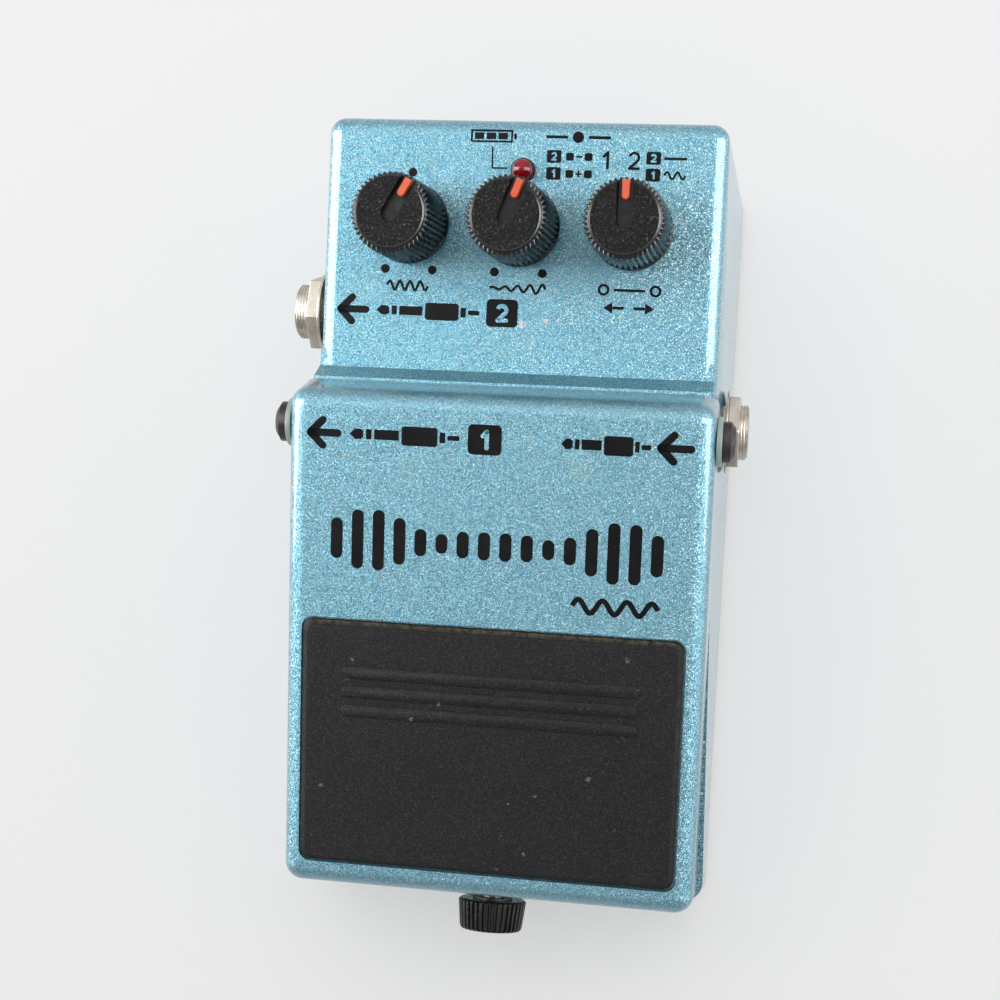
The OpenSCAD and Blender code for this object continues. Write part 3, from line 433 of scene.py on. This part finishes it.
def lathe(profile, n=64, radius=None):
    """Turns (r, z) points round Z. radius(r, i, z) may change a ring's radius at step i."""
    verts, rings = [], []
    for r, z in profile:
        if r < 1e-6:
            rings.append([len(verts)])
            verts.append((0, 0, z))
            continue
        ring = []
        for i in range(n):
            a = 2 * math.pi * i / n
            rr = radius(r, i, z) if radius else r
            ring.append(len(verts))
            verts.append((rr * math.sin(a), rr * math.cos(a), z))
        rings.append(ring)
    faces = []
    for a, b in zip(rings, rings[1:]):
        if len(a) == 1 and len(b) == 1:
            continue
        for i in range(n):
            j = (i + 1) % n
            if len(a) == 1:
                faces.append((a[0], b[i], b[j]))
            elif len(b) == 1:
                faces.append((a[i], a[j], b[0]))
            else:
                faces.append((a[i], a[j], b[j], b[i]))
    return verts, faces


def rounded_rect(w, d, r, n=10):
    points = []
    for q in range(4):
        sx, sy = (1, 1, -1, -1)[q], (1, -1, -1, 1)[q]
        for i in range(n + 1):
            a = math.radians(90 - 90 * q - 90 * i / n)
            points.append((sx * (w / 2 - r) + r * math.cos(a), sy * (d / 2 - r) + r * math.sin(a)))
    return points


def stack(levels):
    """Closed solid through outlines of equal point counts, each at its own height."""
    verts, faces = [], []
    count = len(levels[0][0])
    for outline, z in levels:
        verts += [(x, y, z) for x, y in outline]
    for k in range(len(levels) - 1):
        for i in range(count):
            j = (i + 1) % count
            faces.append((k * count + i, k * count + j, (k + 1) * count + j, (k + 1) * count + i))
    faces.append(tuple(reversed(range(count))))
    faces.append(tuple((len(levels) - 1) * count + i for i in range(count)))
    return verts, faces


INK_HALF = 0.03  # half the thickness of a printed mark


def plate(outline):
    return stack([(outline, -INK_HALF), (outline, INK_HALF)])


def tube(path, r, n=10):
    """A round bar along a path, closed at both ends."""
    verts, faces = [], []
    points = [Vector(p) for p in path]
    side = None
    for i, p in enumerate(points):
        d = (points[min(i + 1, len(points) - 1)] - points[max(i - 1, 0)]).normalized()
        if side is None:
            side = d.orthogonal().normalized()
        side = (side - side.dot(d) * d).normalized()
        up = d.cross(side)
        for k in range(n):
            a = 2 * math.pi * k / n
            verts.append(p + r * (math.cos(a) * side + math.sin(a) * up))
    for i in range(len(points) - 1):
        for k in range(n):
            j = (k + 1) % n
            faces.append((i * n + k, i * n + j, (i + 1) * n + j, (i + 1) * n + k))
    faces.append(tuple(reversed(range(n))))
    faces.append(tuple((len(points) - 1) * n + k for k in range(n)))
    return verts, faces


def joined(parts):
    verts, faces = [], []
    for v, f in parts:
        base = len(verts)
        verts += [tuple(p) for p in v]
        faces += [tuple(i + base for i in face) for face in f]
    return verts, faces


def moved(part, matrix):
    return [tuple(matrix @ Vector(v)) for v in part[0]], part[1]


# ---------------------------------------------------------------- CAD nodes that stay

SLOTS = {s["node"]: s["material_slot"] for s in frame["record"]["subparts"]}
for name, obj in frame["nodes"].items():
    obj.data.materials.clear()
    obj.data.materials.append(MATERIALS[SLOTS[name]])


def soft_edges(node, width):
    """Joins a CAD node's faces, merges flat triangles, rounds hard edges and shades it smooth."""
    obj = frame["nodes"][node]
    weld = obj.modifiers.new("weld", "WELD")
    weld.merge_threshold = 2e-6
    flat = obj.modifiers.new("flat", "DECIMATE")
    flat.decimate_type = "DISSOLVE"
    flat.angle_limit = math.radians(0.4)
    bevel = obj.modifiers.new("edges", "BEVEL")
    bevel.width = width * MM
    bevel.segments = 3
    bevel.limit_method = "ANGLE"
    bevel.angle_limit = math.radians(28)
    bevel.miter_outer = "MITER_ARC"
    bevel.use_clamp_overlap = True
    bevel.harden_normals = False
    obj.data.shade_smooth()
    normals = obj.modifiers.new("normals", "WEIGHTED_NORMAL")
    normals.weight = 100
    normals.keep_sharp = False


for node, width in (("case", 0.25), ("treadle", 0.25), ("base_plate", 0.12), ("rubber_sole", 0.3),
                    ("hinge_screws", 0.15), ("hinge_bushes", 0.12), ("jack_nuts", 0.22),
                    ("jack_washers", 0.08)):
    soft_edges(node, width)

# ---------------------------------------------------------------- knobs

RIBS = 45
KNOB_TOP = 16.30
CHANNEL_R = 1.36  # half the width of the pointer's channel
BAR_R = 0.64      # half the width of the pointer


def knob_mesh():
    def ribbed(r, i, z):
        if not 2.3 < z < 15.75:
            return r
        return r if i % 4 == 0 else (r - 0.26 if i % 4 in (1, 3) else r - 0.52)

    profile = [(0, 12.1), (3.02, 12.1), (3.02, 3.6), (5.7, 3.6), (5.7, 1.0), (6.72, 1.0),
               (6.8, 1.08), (6.8, 1.9), (6.74, 2.05), (6.5, 2.25), (6.78, 2.4), (6.62, 15.3),
               (6.5, 15.6), (6.2, 15.74), (5.86, 15.78), (5.80, 15.82), (5.80, 16.2), (5.74, 16.33),
               (5.62, 16.4), (5.50, 16.36), (5.40, KNOB_TOP), (0, KNOB_TOP)]
    return lathe(profile, RIBS * 4, ribbed)


def knob(name, x, turn):
    body = name + "_control"
    place = on_panel(x, KNOB_Y, 0, turn)
    verts, faces = knob_mesh()
    piece = new_piece(name + "_knob_body", verts, faces, [MATERIALS["knob_plastic"], GRAIN_WITH_PAINTED_GLINTS], body,
                      place, 30, name + "_knob", "knob_plastic")
    # a round-ended channel from the middle to the rim, with an orange bar in its outer half
    round_end = [(CHANNEL_R * math.cos(math.radians(a)),
                  -0.2 + CHANNEL_R * math.sin(math.radians(a))) for a in range(180, 361, 12)]
    outline = round_end + [(CHANNEL_R, 8), (-CHANNEL_R, 8)]
    narrow = [(px * 0.86, py * 0.97 + 0.05) for px, py in outline]
    tool_v, tool_f = stack([(narrow, 15.05), (outline, 15.3), (outline, 18)])
    mesh = bpy.data.meshes.new("channel")
    mesh.from_pydata(tool_v, [], tool_f)
    mesh.transform(Matrix.Scale(MM, 4) @ place)
    cutter = bpy.data.objects.new("channel", mesh)
    bpy.context.scene.collection.objects.link(cutter)
    cut = piece.modifiers.new("channel", "BOOLEAN")
    cut.operation = "DIFFERENCE"
    cut.solver = "EXACT"
    cut.object = cutter
    bpy.context.view_layer.update()
    graph = bpy.context.evaluated_depsgraph_get()
    cut_mesh = bpy.data.meshes.new_from_object(piece.evaluated_get(graph))
    piece.modifiers.clear()
    piece.data = cut_mesh
    bpy.data.objects.remove(cutter)
    cut_mesh.shade_smooth()
    cut_mesh.set_sharp_from_angle(angle=math.radians(30))
    up = place.to_3x3() @ Vector((0, 0, 1))
    foot = (Matrix.Scale(MM, 4) @ place).translation
    for face in cut_mesh.polygons:
        level = (face.center - foot).dot(up) / MM
        radial = ((face.center - foot) - up * (face.center - foot).dot(up)).length / MM
        if abs(level - KNOB_TOP) < 0.01 and radial < 5.45 and face.normal.dot(up) > 0.95:
            face.material_index = 1
    # the bar: rounded at its inner end, domed across
    bar = []
    for i in range(11):
        a = math.radians(180 + 18 * i)
        bar.append((BAR_R * math.cos(a), 3.55 + BAR_R * math.sin(a)))
    bar += [(BAR_R, 6.05), (-BAR_R, 6.05)]
    inner = [(px * 0.8, 4.8 + (py - 4.8) * 0.93) for px, py in bar]
    v, f = stack([(bar, 15.0), (bar, 16.05), (inner, 16.25)])
    new_piece(name + "_pointer_bar", v, f, MATERIALS["pointer_orange"], body, place, 40,
              name + "_pointer", "pointer_orange")


for name, x, turn in KNOBS:
    knob(name, x, turn)

# ---------------------------------------------------------------- lamp

LAMP_R = 1.69
v, f = lathe([(0, -2.6), (1.66, -2.6), (LAMP_R, -2.5), (LAMP_R, 1.0)]
             + [(LAMP_R * math.cos(math.radians(a)), 1.0 + LAMP_R * math.sin(math.radians(a)))
                for a in range(6, 90, 6)] + [(0, 2.69)], 48)
new_piece("lamp_dome", v, f, MATERIALS["lamp_red"], CASE, on_panel(0, 55.6), 40, "led_lens",
          "lamp_red")

# ---------------------------------------------------------------- thumbscrew

def thumb_rib(r, i, z):
    if z < 0.35 or z > 4.95 or r < 4.9:
        return r
    return r if i % 6 in (0, 1, 5) else r - 0.42


THUMB_STEPS = 216
outside = lathe([(1.52, 0.02), (3.2, 0.02), (3.9, 0.0), (5.45, 0.0), (5.72, 0.2), (5.82, 0.36),
                 (5.80, 0.6), (5.35, 4.6), (5.22, 4.94), (5.02, 5.14), (4.6, 5.26), (3.9, 5.28),
                 (3.7, 5.1), (3.5, 5.04), (0, 5.04)], THUMB_STEPS, thumb_rib)
bore = lathe([(0, 3.85), (1.52, 3.85), (1.52, 0.02)], THUMB_STEPS)
v, f = joined([outside, bore])
new_piece("thumbscrew_grip", v, f, MATERIALS["knob_plastic"], "thumbscrew_body",
          facing_front(-66, 16), 34, "thumbscrew_head", "knob_plastic")

# ---------------------------------------------------------------- pad

PAD_Y = (-60.6 - 20.9) / 2


def pad_mesh():
    w, d, corner = 62.4, 41.1, 1.7
    low, top, round_off = 0.12, 0.95, 0.76
    levels = [(rounded_rect(w, d, corner), -1.08), (rounded_rect(w, d, corner), low)]
    for i in range(1, 7):
        inset = round_off * math.sin(math.radians(15 * i))
        outline = rounded_rect(w - 2 * inset, d - 2 * inset, corner - inset * 0.3)
        levels.append((outline, low + (top - low) * (i / 6)))
    for i, rise in enumerate((0.03, 0.045, 0.05), 1):
        inset = round_off + 0.12 * i
        levels.append((rounded_rect(w - 2 * inset, d - 2 * inset, 1.45), top + rise))
    parts = [stack(levels)]
    # raised anti-slip bars across the upper part of the pad
    for k in range(3):
        y = 12.2 - 3.2 * k
        bar = rounded_rect(48.8, 2.0, 0.95, 8)
        bar_top = rounded_rect(48.2, 1.4, 0.66, 8)
        part = stack([(bar, 0.6), (bar, top + 0.22), (bar_top, top + 0.42)])
        parts.append(moved(part, Matrix.Translation((0, y, 0))))
    return joined(parts)


v, f = pad_mesh()
new_piece("foot_pad", v, f, MATERIALS["rubber"], TREADLE, on_treadle(0, PAD_Y), 38, "treadle_pad",
          "rubber")

# ---------------------------------------------------------------- sockets: visible threads

def thread(name, place, start, end):
    r, pitch, wire = 4.62, 0.5, 0.15
    path = []
    turns = (end - start) / pitch
    steps = int(turns * 48)
    for i in range(steps + 1):
        a = 2 * math.pi * turns * i / steps
        path.append((r * math.cos(a), r * math.sin(a), start + (end - start) * i / steps))
    new_piece(name, *tube(path, wire, 6), MATERIALS["nickel"], CASE, place, 60, slot="nickel")


for name, side, y, z, x0, x1 in (("input_thread", 1, 16.9, 18.5, 37.25, 38.95),
                                 ("output_a_thread", -1, 16.9, 18.5, 37.25, 38.95),
                                 ("output_b_thread", -1, 33.7, 26.0, 37.75, 39.95)):
    thread(name, facing_x(0, y, z, side), x0, x1)

# ---------------------------------------------------------------- return spring

SEAT_Z, FREE_LENGTH = 19.2, 17.1
COIL_X, COIL_Y, COIL_R, WIRE_R = -12, -18, 4.45, 0.53
END_SHARE = 0.11  # the share of the wire in each closed end turn
coil = []
turns, steps = 7.5, 7 * 48 + 24
z_low, z_high = SEAT_Z + 0.55, SEAT_Z + FREE_LENGTH - 0.55
for i in range(steps + 1):
    t = i / steps
    a = 2 * math.pi * turns * t
    # closed end turns, open middle turns
    rise = max(0.0, min(1.0, (t - END_SHARE) / (1 - 2 * END_SHARE)))
    lift = 1.1 * min(t / END_SHARE, 1.0) + 1.1 * max(0.0, (t - 1 + END_SHARE) / END_SHARE)
    z = z_low + lift * 0.5 + rise * (z_high - z_low - 1.1)
    coil.append((COIL_X + COIL_R * math.cos(a), COIL_Y + COIL_R * math.sin(a), z))
v, f = tube(coil, WIRE_R, 10)
spring = new_piece("spring_coil", v, f, MATERIALS["spring_steel"], CASE, None, 60,
                   "treadle_spring", "spring_steel")
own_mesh(spring)

# ---------------------------------------------------------------- printed marks

PANEL = (on_panel, math.cos(PANEL_A), CASE)
PLATE = (on_treadle, math.cos(TREADLE_A), TREADLE)


def mark(name, part, surface, x, y):
    place, _, body = surface
    new_piece(name, *part, INK, body, place(x, y), 30)


def stroke(points, width):
    """A line of even width with round ends, one closed outline for each straight run."""
    n = 6
    parts = []
    for (ax, ay), (bx, by) in zip(points, points[1:]):
        a = math.atan2(by - ay, bx - ax)
        outline = []
        for cx, cy, start in ((bx, by, -90), (ax, ay, 90)):
            for i in range(n + 1):
                t = a + math.radians(start + 180 * i / n)
                outline.append((cx + width / 2 * math.cos(t), cy + width / 2 * math.sin(t)))
        parts.append(plate(outline))
    return joined(parts)


def ribbon(points, width):
    """A smooth line of even width as one closed strip."""
    points = [p for k, p in enumerate(points) if k == 0 or math.dist(p, points[k - 1]) > 1e-4]
    left, right = [], []
    for i, (x, y) in enumerate(points):
        x0, y0 = points[max(i - 1, 0)]
        x1, y1 = points[min(i + 1, len(points) - 1)]
        length = math.hypot(x1 - x0, y1 - y0)
        nx, ny = -(y1 - y0) / length * width / 2, (x1 - x0) / length * width / 2
        left.append((x + nx, y + ny))
        right.append((x - nx, y - ny))
    verts, faces, n = [], [], len(points)
    for z in (-INK_HALF, INK_HALF):
        verts += [(x, y, z) for x, y in left] + [(x, y, z) for x, y in right]
    for i in range(n - 1):
        faces += [(i, i + 1, n + i + 1, n + i), (2 * n + i, 3 * n + i, 3 * n + i + 1, 2 * n + i + 1),
                  (i, 2 * n + i, 2 * n + i + 1, i + 1), (n + i, n + i + 1, 3 * n + i + 1, 3 * n + i)]
    faces += [(0, n, 3 * n, 2 * n), (n - 1, 3 * n - 1, 4 * n - 1, 2 * n - 1)]
    return verts, faces


def arc(cx, cy, rx, ry, a0, a1, n=14):
    return [(cx + rx * math.cos(math.radians(a0 + (a1 - a0) * i / n)),
             cy + ry * math.sin(math.radians(a0 + (a1 - a0) * i / n))) for i in range(n + 1)]


# plain digits: each is a width and the middle lines of its strokes in a box one high
DIGITS = {
    "1": (0.30, [[(0.02, 0.74), (0.28, 1)], [(0.28, 1), (0.28, 0)]]),
    "2": (0.60, [arc(0.30, 0.70, 0.30, 0.30, 165, -42, 14) + [(0.02, 0.02)], [(0, 0), (0.60, 0)]]),
}


def digit(name, number, surface, x, y, tall, weight, mat=None, up=0.0):
    """One digit of the given height, centred on (x, y); weight is its stroke's share of that."""
    place, _, body = surface
    wide, lines = DIGITS[number]
    line = weight * tall
    reach = tall - line
    parts = []
    for points in lines:
        run = [((px - wide / 2) * reach, (py - 0.5) * reach) for px, py in points]
        parts.append(stroke(run, line) if len(run) == 2 else ribbon(run, line))
    new_piece(name, *joined(parts), mat or INK, body, place(x, y, up))


def disc(r):
    n = 32
    return plate([(r * math.cos(2 * math.pi * i / n), r * math.sin(2 * math.pi * i / n))
                  for i in range(n)])


def arrow(name, surface, x0, x1, y0, y1):
    """An arrow to the left that fills a box, given as it looks from straight above."""
    cosine = surface[1]
    w, h = x1 - x0, (y1 - y0) / cosine
    t = h * 0.23  # the line's width
    tip = -w / 2 + t * 0.62
    wing = h / 2 - t / 2
    part = stroke([(tip, 0), (w / 2 - t / 2, 0)], t)
    head = stroke([(tip + wing, wing), (tip, 0), (tip + wing, -wing)], t)
    mark(name, joined([part, head]), surface, (x0 + x1) / 2, (y0 + y1) / 2)


def badge(name, number, surface, x0, x1, y0, y1):
    """A filled tile that shows a digit in the paint's colour."""
    cosine = surface[1]
    w, h = x1 - x0, (y1 - y0) / cosine
    cx, cy = (x0 + x1) / 2, (y0 + y1) / 2
    mark(name, plate(rounded_rect(w, h, min(w, h) * 0.16, 5)), surface, cx, cy)
    digit(name + "_number", number, surface, cx, cy, h * 0.68, 0.22, MATERIALS["blue_paint"], 0.025)


def slab(x0, x1, h, r=0.2):
    """A bar from x0 to x1, of height h, with rounded corners."""
    outline = rounded_rect(x1 - x0, h, min(r, h / 2.01, (x1 - x0) / 2.01), 4)
    return moved(plate(outline), Matrix.Translation(((x0 + x1) / 2, 0, 0)))


def plug_mark(name, surface, x0, x1, y, h):
    """A phone plug seen from the side, its tip to the left, then the barrel and its cord."""
    w = x1 - x0
    left = -w / 2
    upper = ((0.05, 0.27), (0.10, 0.27), (0.125, 0.16))
    tip = [(left, 0)] + [(left + a * w, b * h) for a, b in upper]
    tip += [(left + a * w, -b * h) for a, b in reversed(upper)]
    parts = [plate(tip)]
    # two contact rings, the barrel, its collar and the cord: where each starts and ends, its height
    # and its corners
    for a, b, tall, r in ((0.15, 0.20, 0.52, 0.1), (0.225, 0.45, 0.52, 0.1), (0.475, 0.80, 1, 0.5),
                          (0.82, 0.87, 0.55, 0.1), (0.89, 1, 0.26, 0.3)):
        parts.append(slab(left + a * w, left + b * w, tall * h, r))
    mark(name, joined(parts), surface, (x0 + x1) / 2, y)


def wave_mark(name, surface, x0, x1, y, height, cycles, line, swell=1.0):
    """A sine of the given cycles; swell is the share of its full height that it starts with."""
    points = []
    for i in range(161):
        t = i / 160
        reach = (height - line) / 2 * (swell + (1 - swell) * t)
        points.append((((x1 - x0) - line) * (t - 0.5), reach * math.sin(2 * math.pi * cycles * t)))
    mark(name, ribbon(points, line), surface, (x0 + x1) / 2, y)


def ring_part(x, r, line):
    middle = r - line / 2
    return ribbon([(x + middle * math.cos(math.radians(a)), middle * math.sin(math.radians(a)))
                   for a in range(0, 361, 10)], line)


# the lamp: a battery's outline with its charge, and a bracket that leads to it
cell = [(-3.6, -0.9), (-3.6, 0.9), (3.2, 0.9), (3.2, -0.9), (-3.6, -0.9)]
parts = [stroke([a, b], 0.32) for a, b in zip(cell, cell[1:])]
parts += [slab(3.55, 4.0, 0.95, 0.15)] + [slab(x, x + 1.6, 1.1, 0.1) for x in (-3.1, -1.1, 0.9)]
mark("lamp_mark", joined(parts), PANEL, -5.3, 61.1)
mark("lamp_bracket", stroke([(-1.25, 1.73), (-1.15, -1.73), (1.25, -1.73)], 0.26), PANEL, -4.05, 57.6)
# one source between two bars: the single output
parts = [disc(0.95), slab(-5.4, -1.7, 0.5), slab(1.7, 5.4, 0.5)]
mark("single_mark", joined(parts), PANEL, 9.0, 61.15)
badge("option_2_left", "2", PANEL, 3.9, 6.3, 56.95, 59.0)
badge("option_1_left", "1", PANEL, 3.9, 6.3, 54.2, 56.25)
for name, y, cross in (("option_minus", 58.0, False), ("option_plus", 55.2, True)):
    parts = [slab(-2.2, -0.9, 1.3, 0.3), slab(0.9, 2.2, 1.3, 0.3), slab(-0.55, 0.55, 0.28, 0.1)]
    if cross:
        parts.append(moved(slab(-0.55, 0.55, 0.28, 0.1), Matrix.Rotation(math.pi / 2, 4, "Z")))
    mark(name, joined(parts), PANEL, 9.3, y)
badge("option_2_right", "2", PANEL, 20.4, 22.8, 57.0, 59.05)
badge("option_1_right", "1", PANEL, 20.4, 22.8, 54.3, 56.35)
mark("option_dry", slab(-1.9, 1.9, 0.42, 0.2), PANEL, 25.2, 58.0)
wave_mark("option_effect", PANEL, 23.3, 27.1, 55.3, 1.5, 2, 0.36)
digit("position_1", "1", PANEL, 13.7, 57.55, 3.0, 0.15)
digit("position_2", "2", PANEL, 18.4, 57.55, 3.0, 0.15)
# the dots at the ends of the knobs' scales, and one at the middle of the left knob's
DOT_R, DOT_RING = 0.75, 8.62
for name, x, _ in KNOBS[:2]:
    for k, a in enumerate((-28, 28)):
        dx, dy = DOT_RING * math.sin(math.radians(a)), -DOT_RING * math.cos(math.radians(a))
        mark(f"{name}_dot_{k}", disc(DOT_R), PANEL, x + dx, KNOB_Y + dy * PANEL[1])
mark("rate_dot_2", disc(DOT_R), PANEL, -18.7, KNOB_Y + DOT_RING * PANEL[1])
wave_mark("rate_mark", PANEL, -22.5, -15.1, 36.2, 1.9, 4, 0.42)
wave_mark("depth_mark", PANEL, -5.0, 4.9, 36.3, 2.1, 4.5, 0.42, 0.12)
parts = [ring_part(x, 0.98, 0.42) for x in (-4.3, 4.3)] + [slab(-2.6, 2.6, 0.45)]
mark("spread_mark", joined(parts), PANEL, 18.7, 36.6)
parts = [plate([(s * 4.2, 0), (s * 2.7, s * 0.95), (s * 2.7, -s * 0.95)]) for s in (-1, 1)]
mark("spread_arrows", joined(parts + [slab(-2.7, -0.8, 0.5), slab(0.8, 2.7, 0.5)]), PANEL, 18.7, 33.7)
arrow("output_2_arrow", PANEL, -31.0, -25.2, 29.4, 34.6)
plug_mark("output_2_mark", PANEL, -24.0, -6.3, 32.05, 2.9)
badge("output_2_badge", "2", PANEL, -5.1, 0.2, 29.9, 34.45)
arrow("output_1_arrow", PLATE, -31.35, -25.4, 6.3, 11.5)
plug_mark("output_1_mark", PLATE, -24.05, -6.0, 8.95, 3.1)
badge("output_1_badge", "1", PLATE, -4.65, 0.8, 6.6, 11.3)
plug_mark("input_mark", PLATE, 10.4, 24.6, 8.97, 3.1)
arrow("input_arrow", PLATE, 25.3, 31.45, 6.4, 11.6)

# a generic emblem: the beat of two close tones, as a row of upright bars
for k in range(16):
    x = -25.9 + 3.48 * k
    beat = abs(math.sin(math.pi * (k + 0.9) / 5.6)) * (0.62 + 0.38 * math.cos(math.pi * k / 7.5))
    tall = 2.6 + 8.4 * abs(beat)
    mark(f"beat_{k}", plate(rounded_rect(1.95, tall, 0.95, 7)), PLATE, x, -7.65)
wave_mark("beat_line", PLATE, 12.6, 27.2, -16.1, 3.0, 3.5, 0.85)

# ---------------------------------------------------------------- stage, light, camera

floor_mesh = bpy.data.meshes.new("floor")
half = 4.0
corners = [(-half, -half, 0), (half, -half, 0), (half, half, 0), (-half, half, 0)]
floor_mesh.from_pydata(corners, [], [(0, 1, 2, 3)])
floor = bpy.data.objects.new("floor", floor_mesh)
bpy.context.scene.collection.objects.link(floor)
# a white sheet lit partly from below, a little brighter to the rear, so that shadows stay faint
sheet = Shader("floor_paper", (0.505, 0.505, 0.51), 0.7, spec=0.1)
cloud = sheet.ramp(sheet.noise(0.004, 3), 0.3, 0.7)
sheet.base(sheet.mix(cloud, sheet.color, (0.52, 0.52, 0.52)))
sheet.set("Emission Color", (1.0, 0.99, 0.98, 1))
glow = sheet.ramp(sheet.axis(1), -0.14, 0.12, 0.365, 0.43)
sheet.link(glow, sheet.bsdf.inputs["Emission Strength"])
floor_mesh.materials.append(sheet.mat)


def softbox(name, spot, target, size, power):
    data = bpy.data.lights.new(name, "AREA")
    data.shape = "RECTANGLE"
    data.size, data.size_y = size
    data.energy = power
    lamp = bpy.data.objects.new(name, data)
    lamp.location = spot
    lamp.rotation_euler = (Vector(target) - Vector(spot)).to_track_quat("-Z", "Y").to_euler()
    bpy.context.scene.collection.objects.link(lamp)
    return lamp


# the two side boxes only put their reflections along the rounded edges
for lamp in (softbox("left_box", (-0.75, 0.05, 0.42), (0, 0, 0.03), (0.5, 1.2), 20),
             softbox("right_box", (0.80, 0.05, 0.42), (0, 0, 0.03), (0.5, 1.2), 16)):
    lamp.visible_diffuse = False
softbox("top_box", (-0.10, 0.60, 1.10), (0, 0, 0), (1.6, 1.0), 2.6)

world = bpy.data.worlds.new("studio")
world.use_nodes = True
sky = world.node_tree
background = sky.nodes["Background"]
background.inputs["Color"].default_value = (0.98, 0.99, 1.0, 1)
# the room is dimmer toward the front
where = sky.nodes.new("ShaderNodeTexCoord")
parts = sky.nodes.new("ShaderNodeSeparateXYZ")
fall = sky.nodes.new("ShaderNodeMapRange")
for i, number in ((1, -0.85), (2, 0.25), (3, 0.50), (4, 0.90)):
    fall.inputs[i].default_value = number
sky.links.new(where.outputs["Generated"], parts.inputs[0])
sky.links.new(parts.outputs[1], fall.inputs[0])
sky.links.new(fall.outputs[0], background.inputs["Strength"])
bpy.context.scene.world = world
bpy.context.scene.view_settings.view_transform = "Standard"

camera_data = bpy.data.cameras.new("camera")
camera_data.lens = 59.54
camera_data.sensor_width = 36
camera_data.clip_start = 0.01
camera = bpy.data.objects.new("camera", camera_data)
camera.location = (0.04177, -0.03074, 0.30463)
camera.rotation_euler = [math.radians(a) for a in (7.2595, 8.4630, 4.1880)]
bpy.context.scene.collection.objects.link(camera)
bpy.context.scene.camera = camera
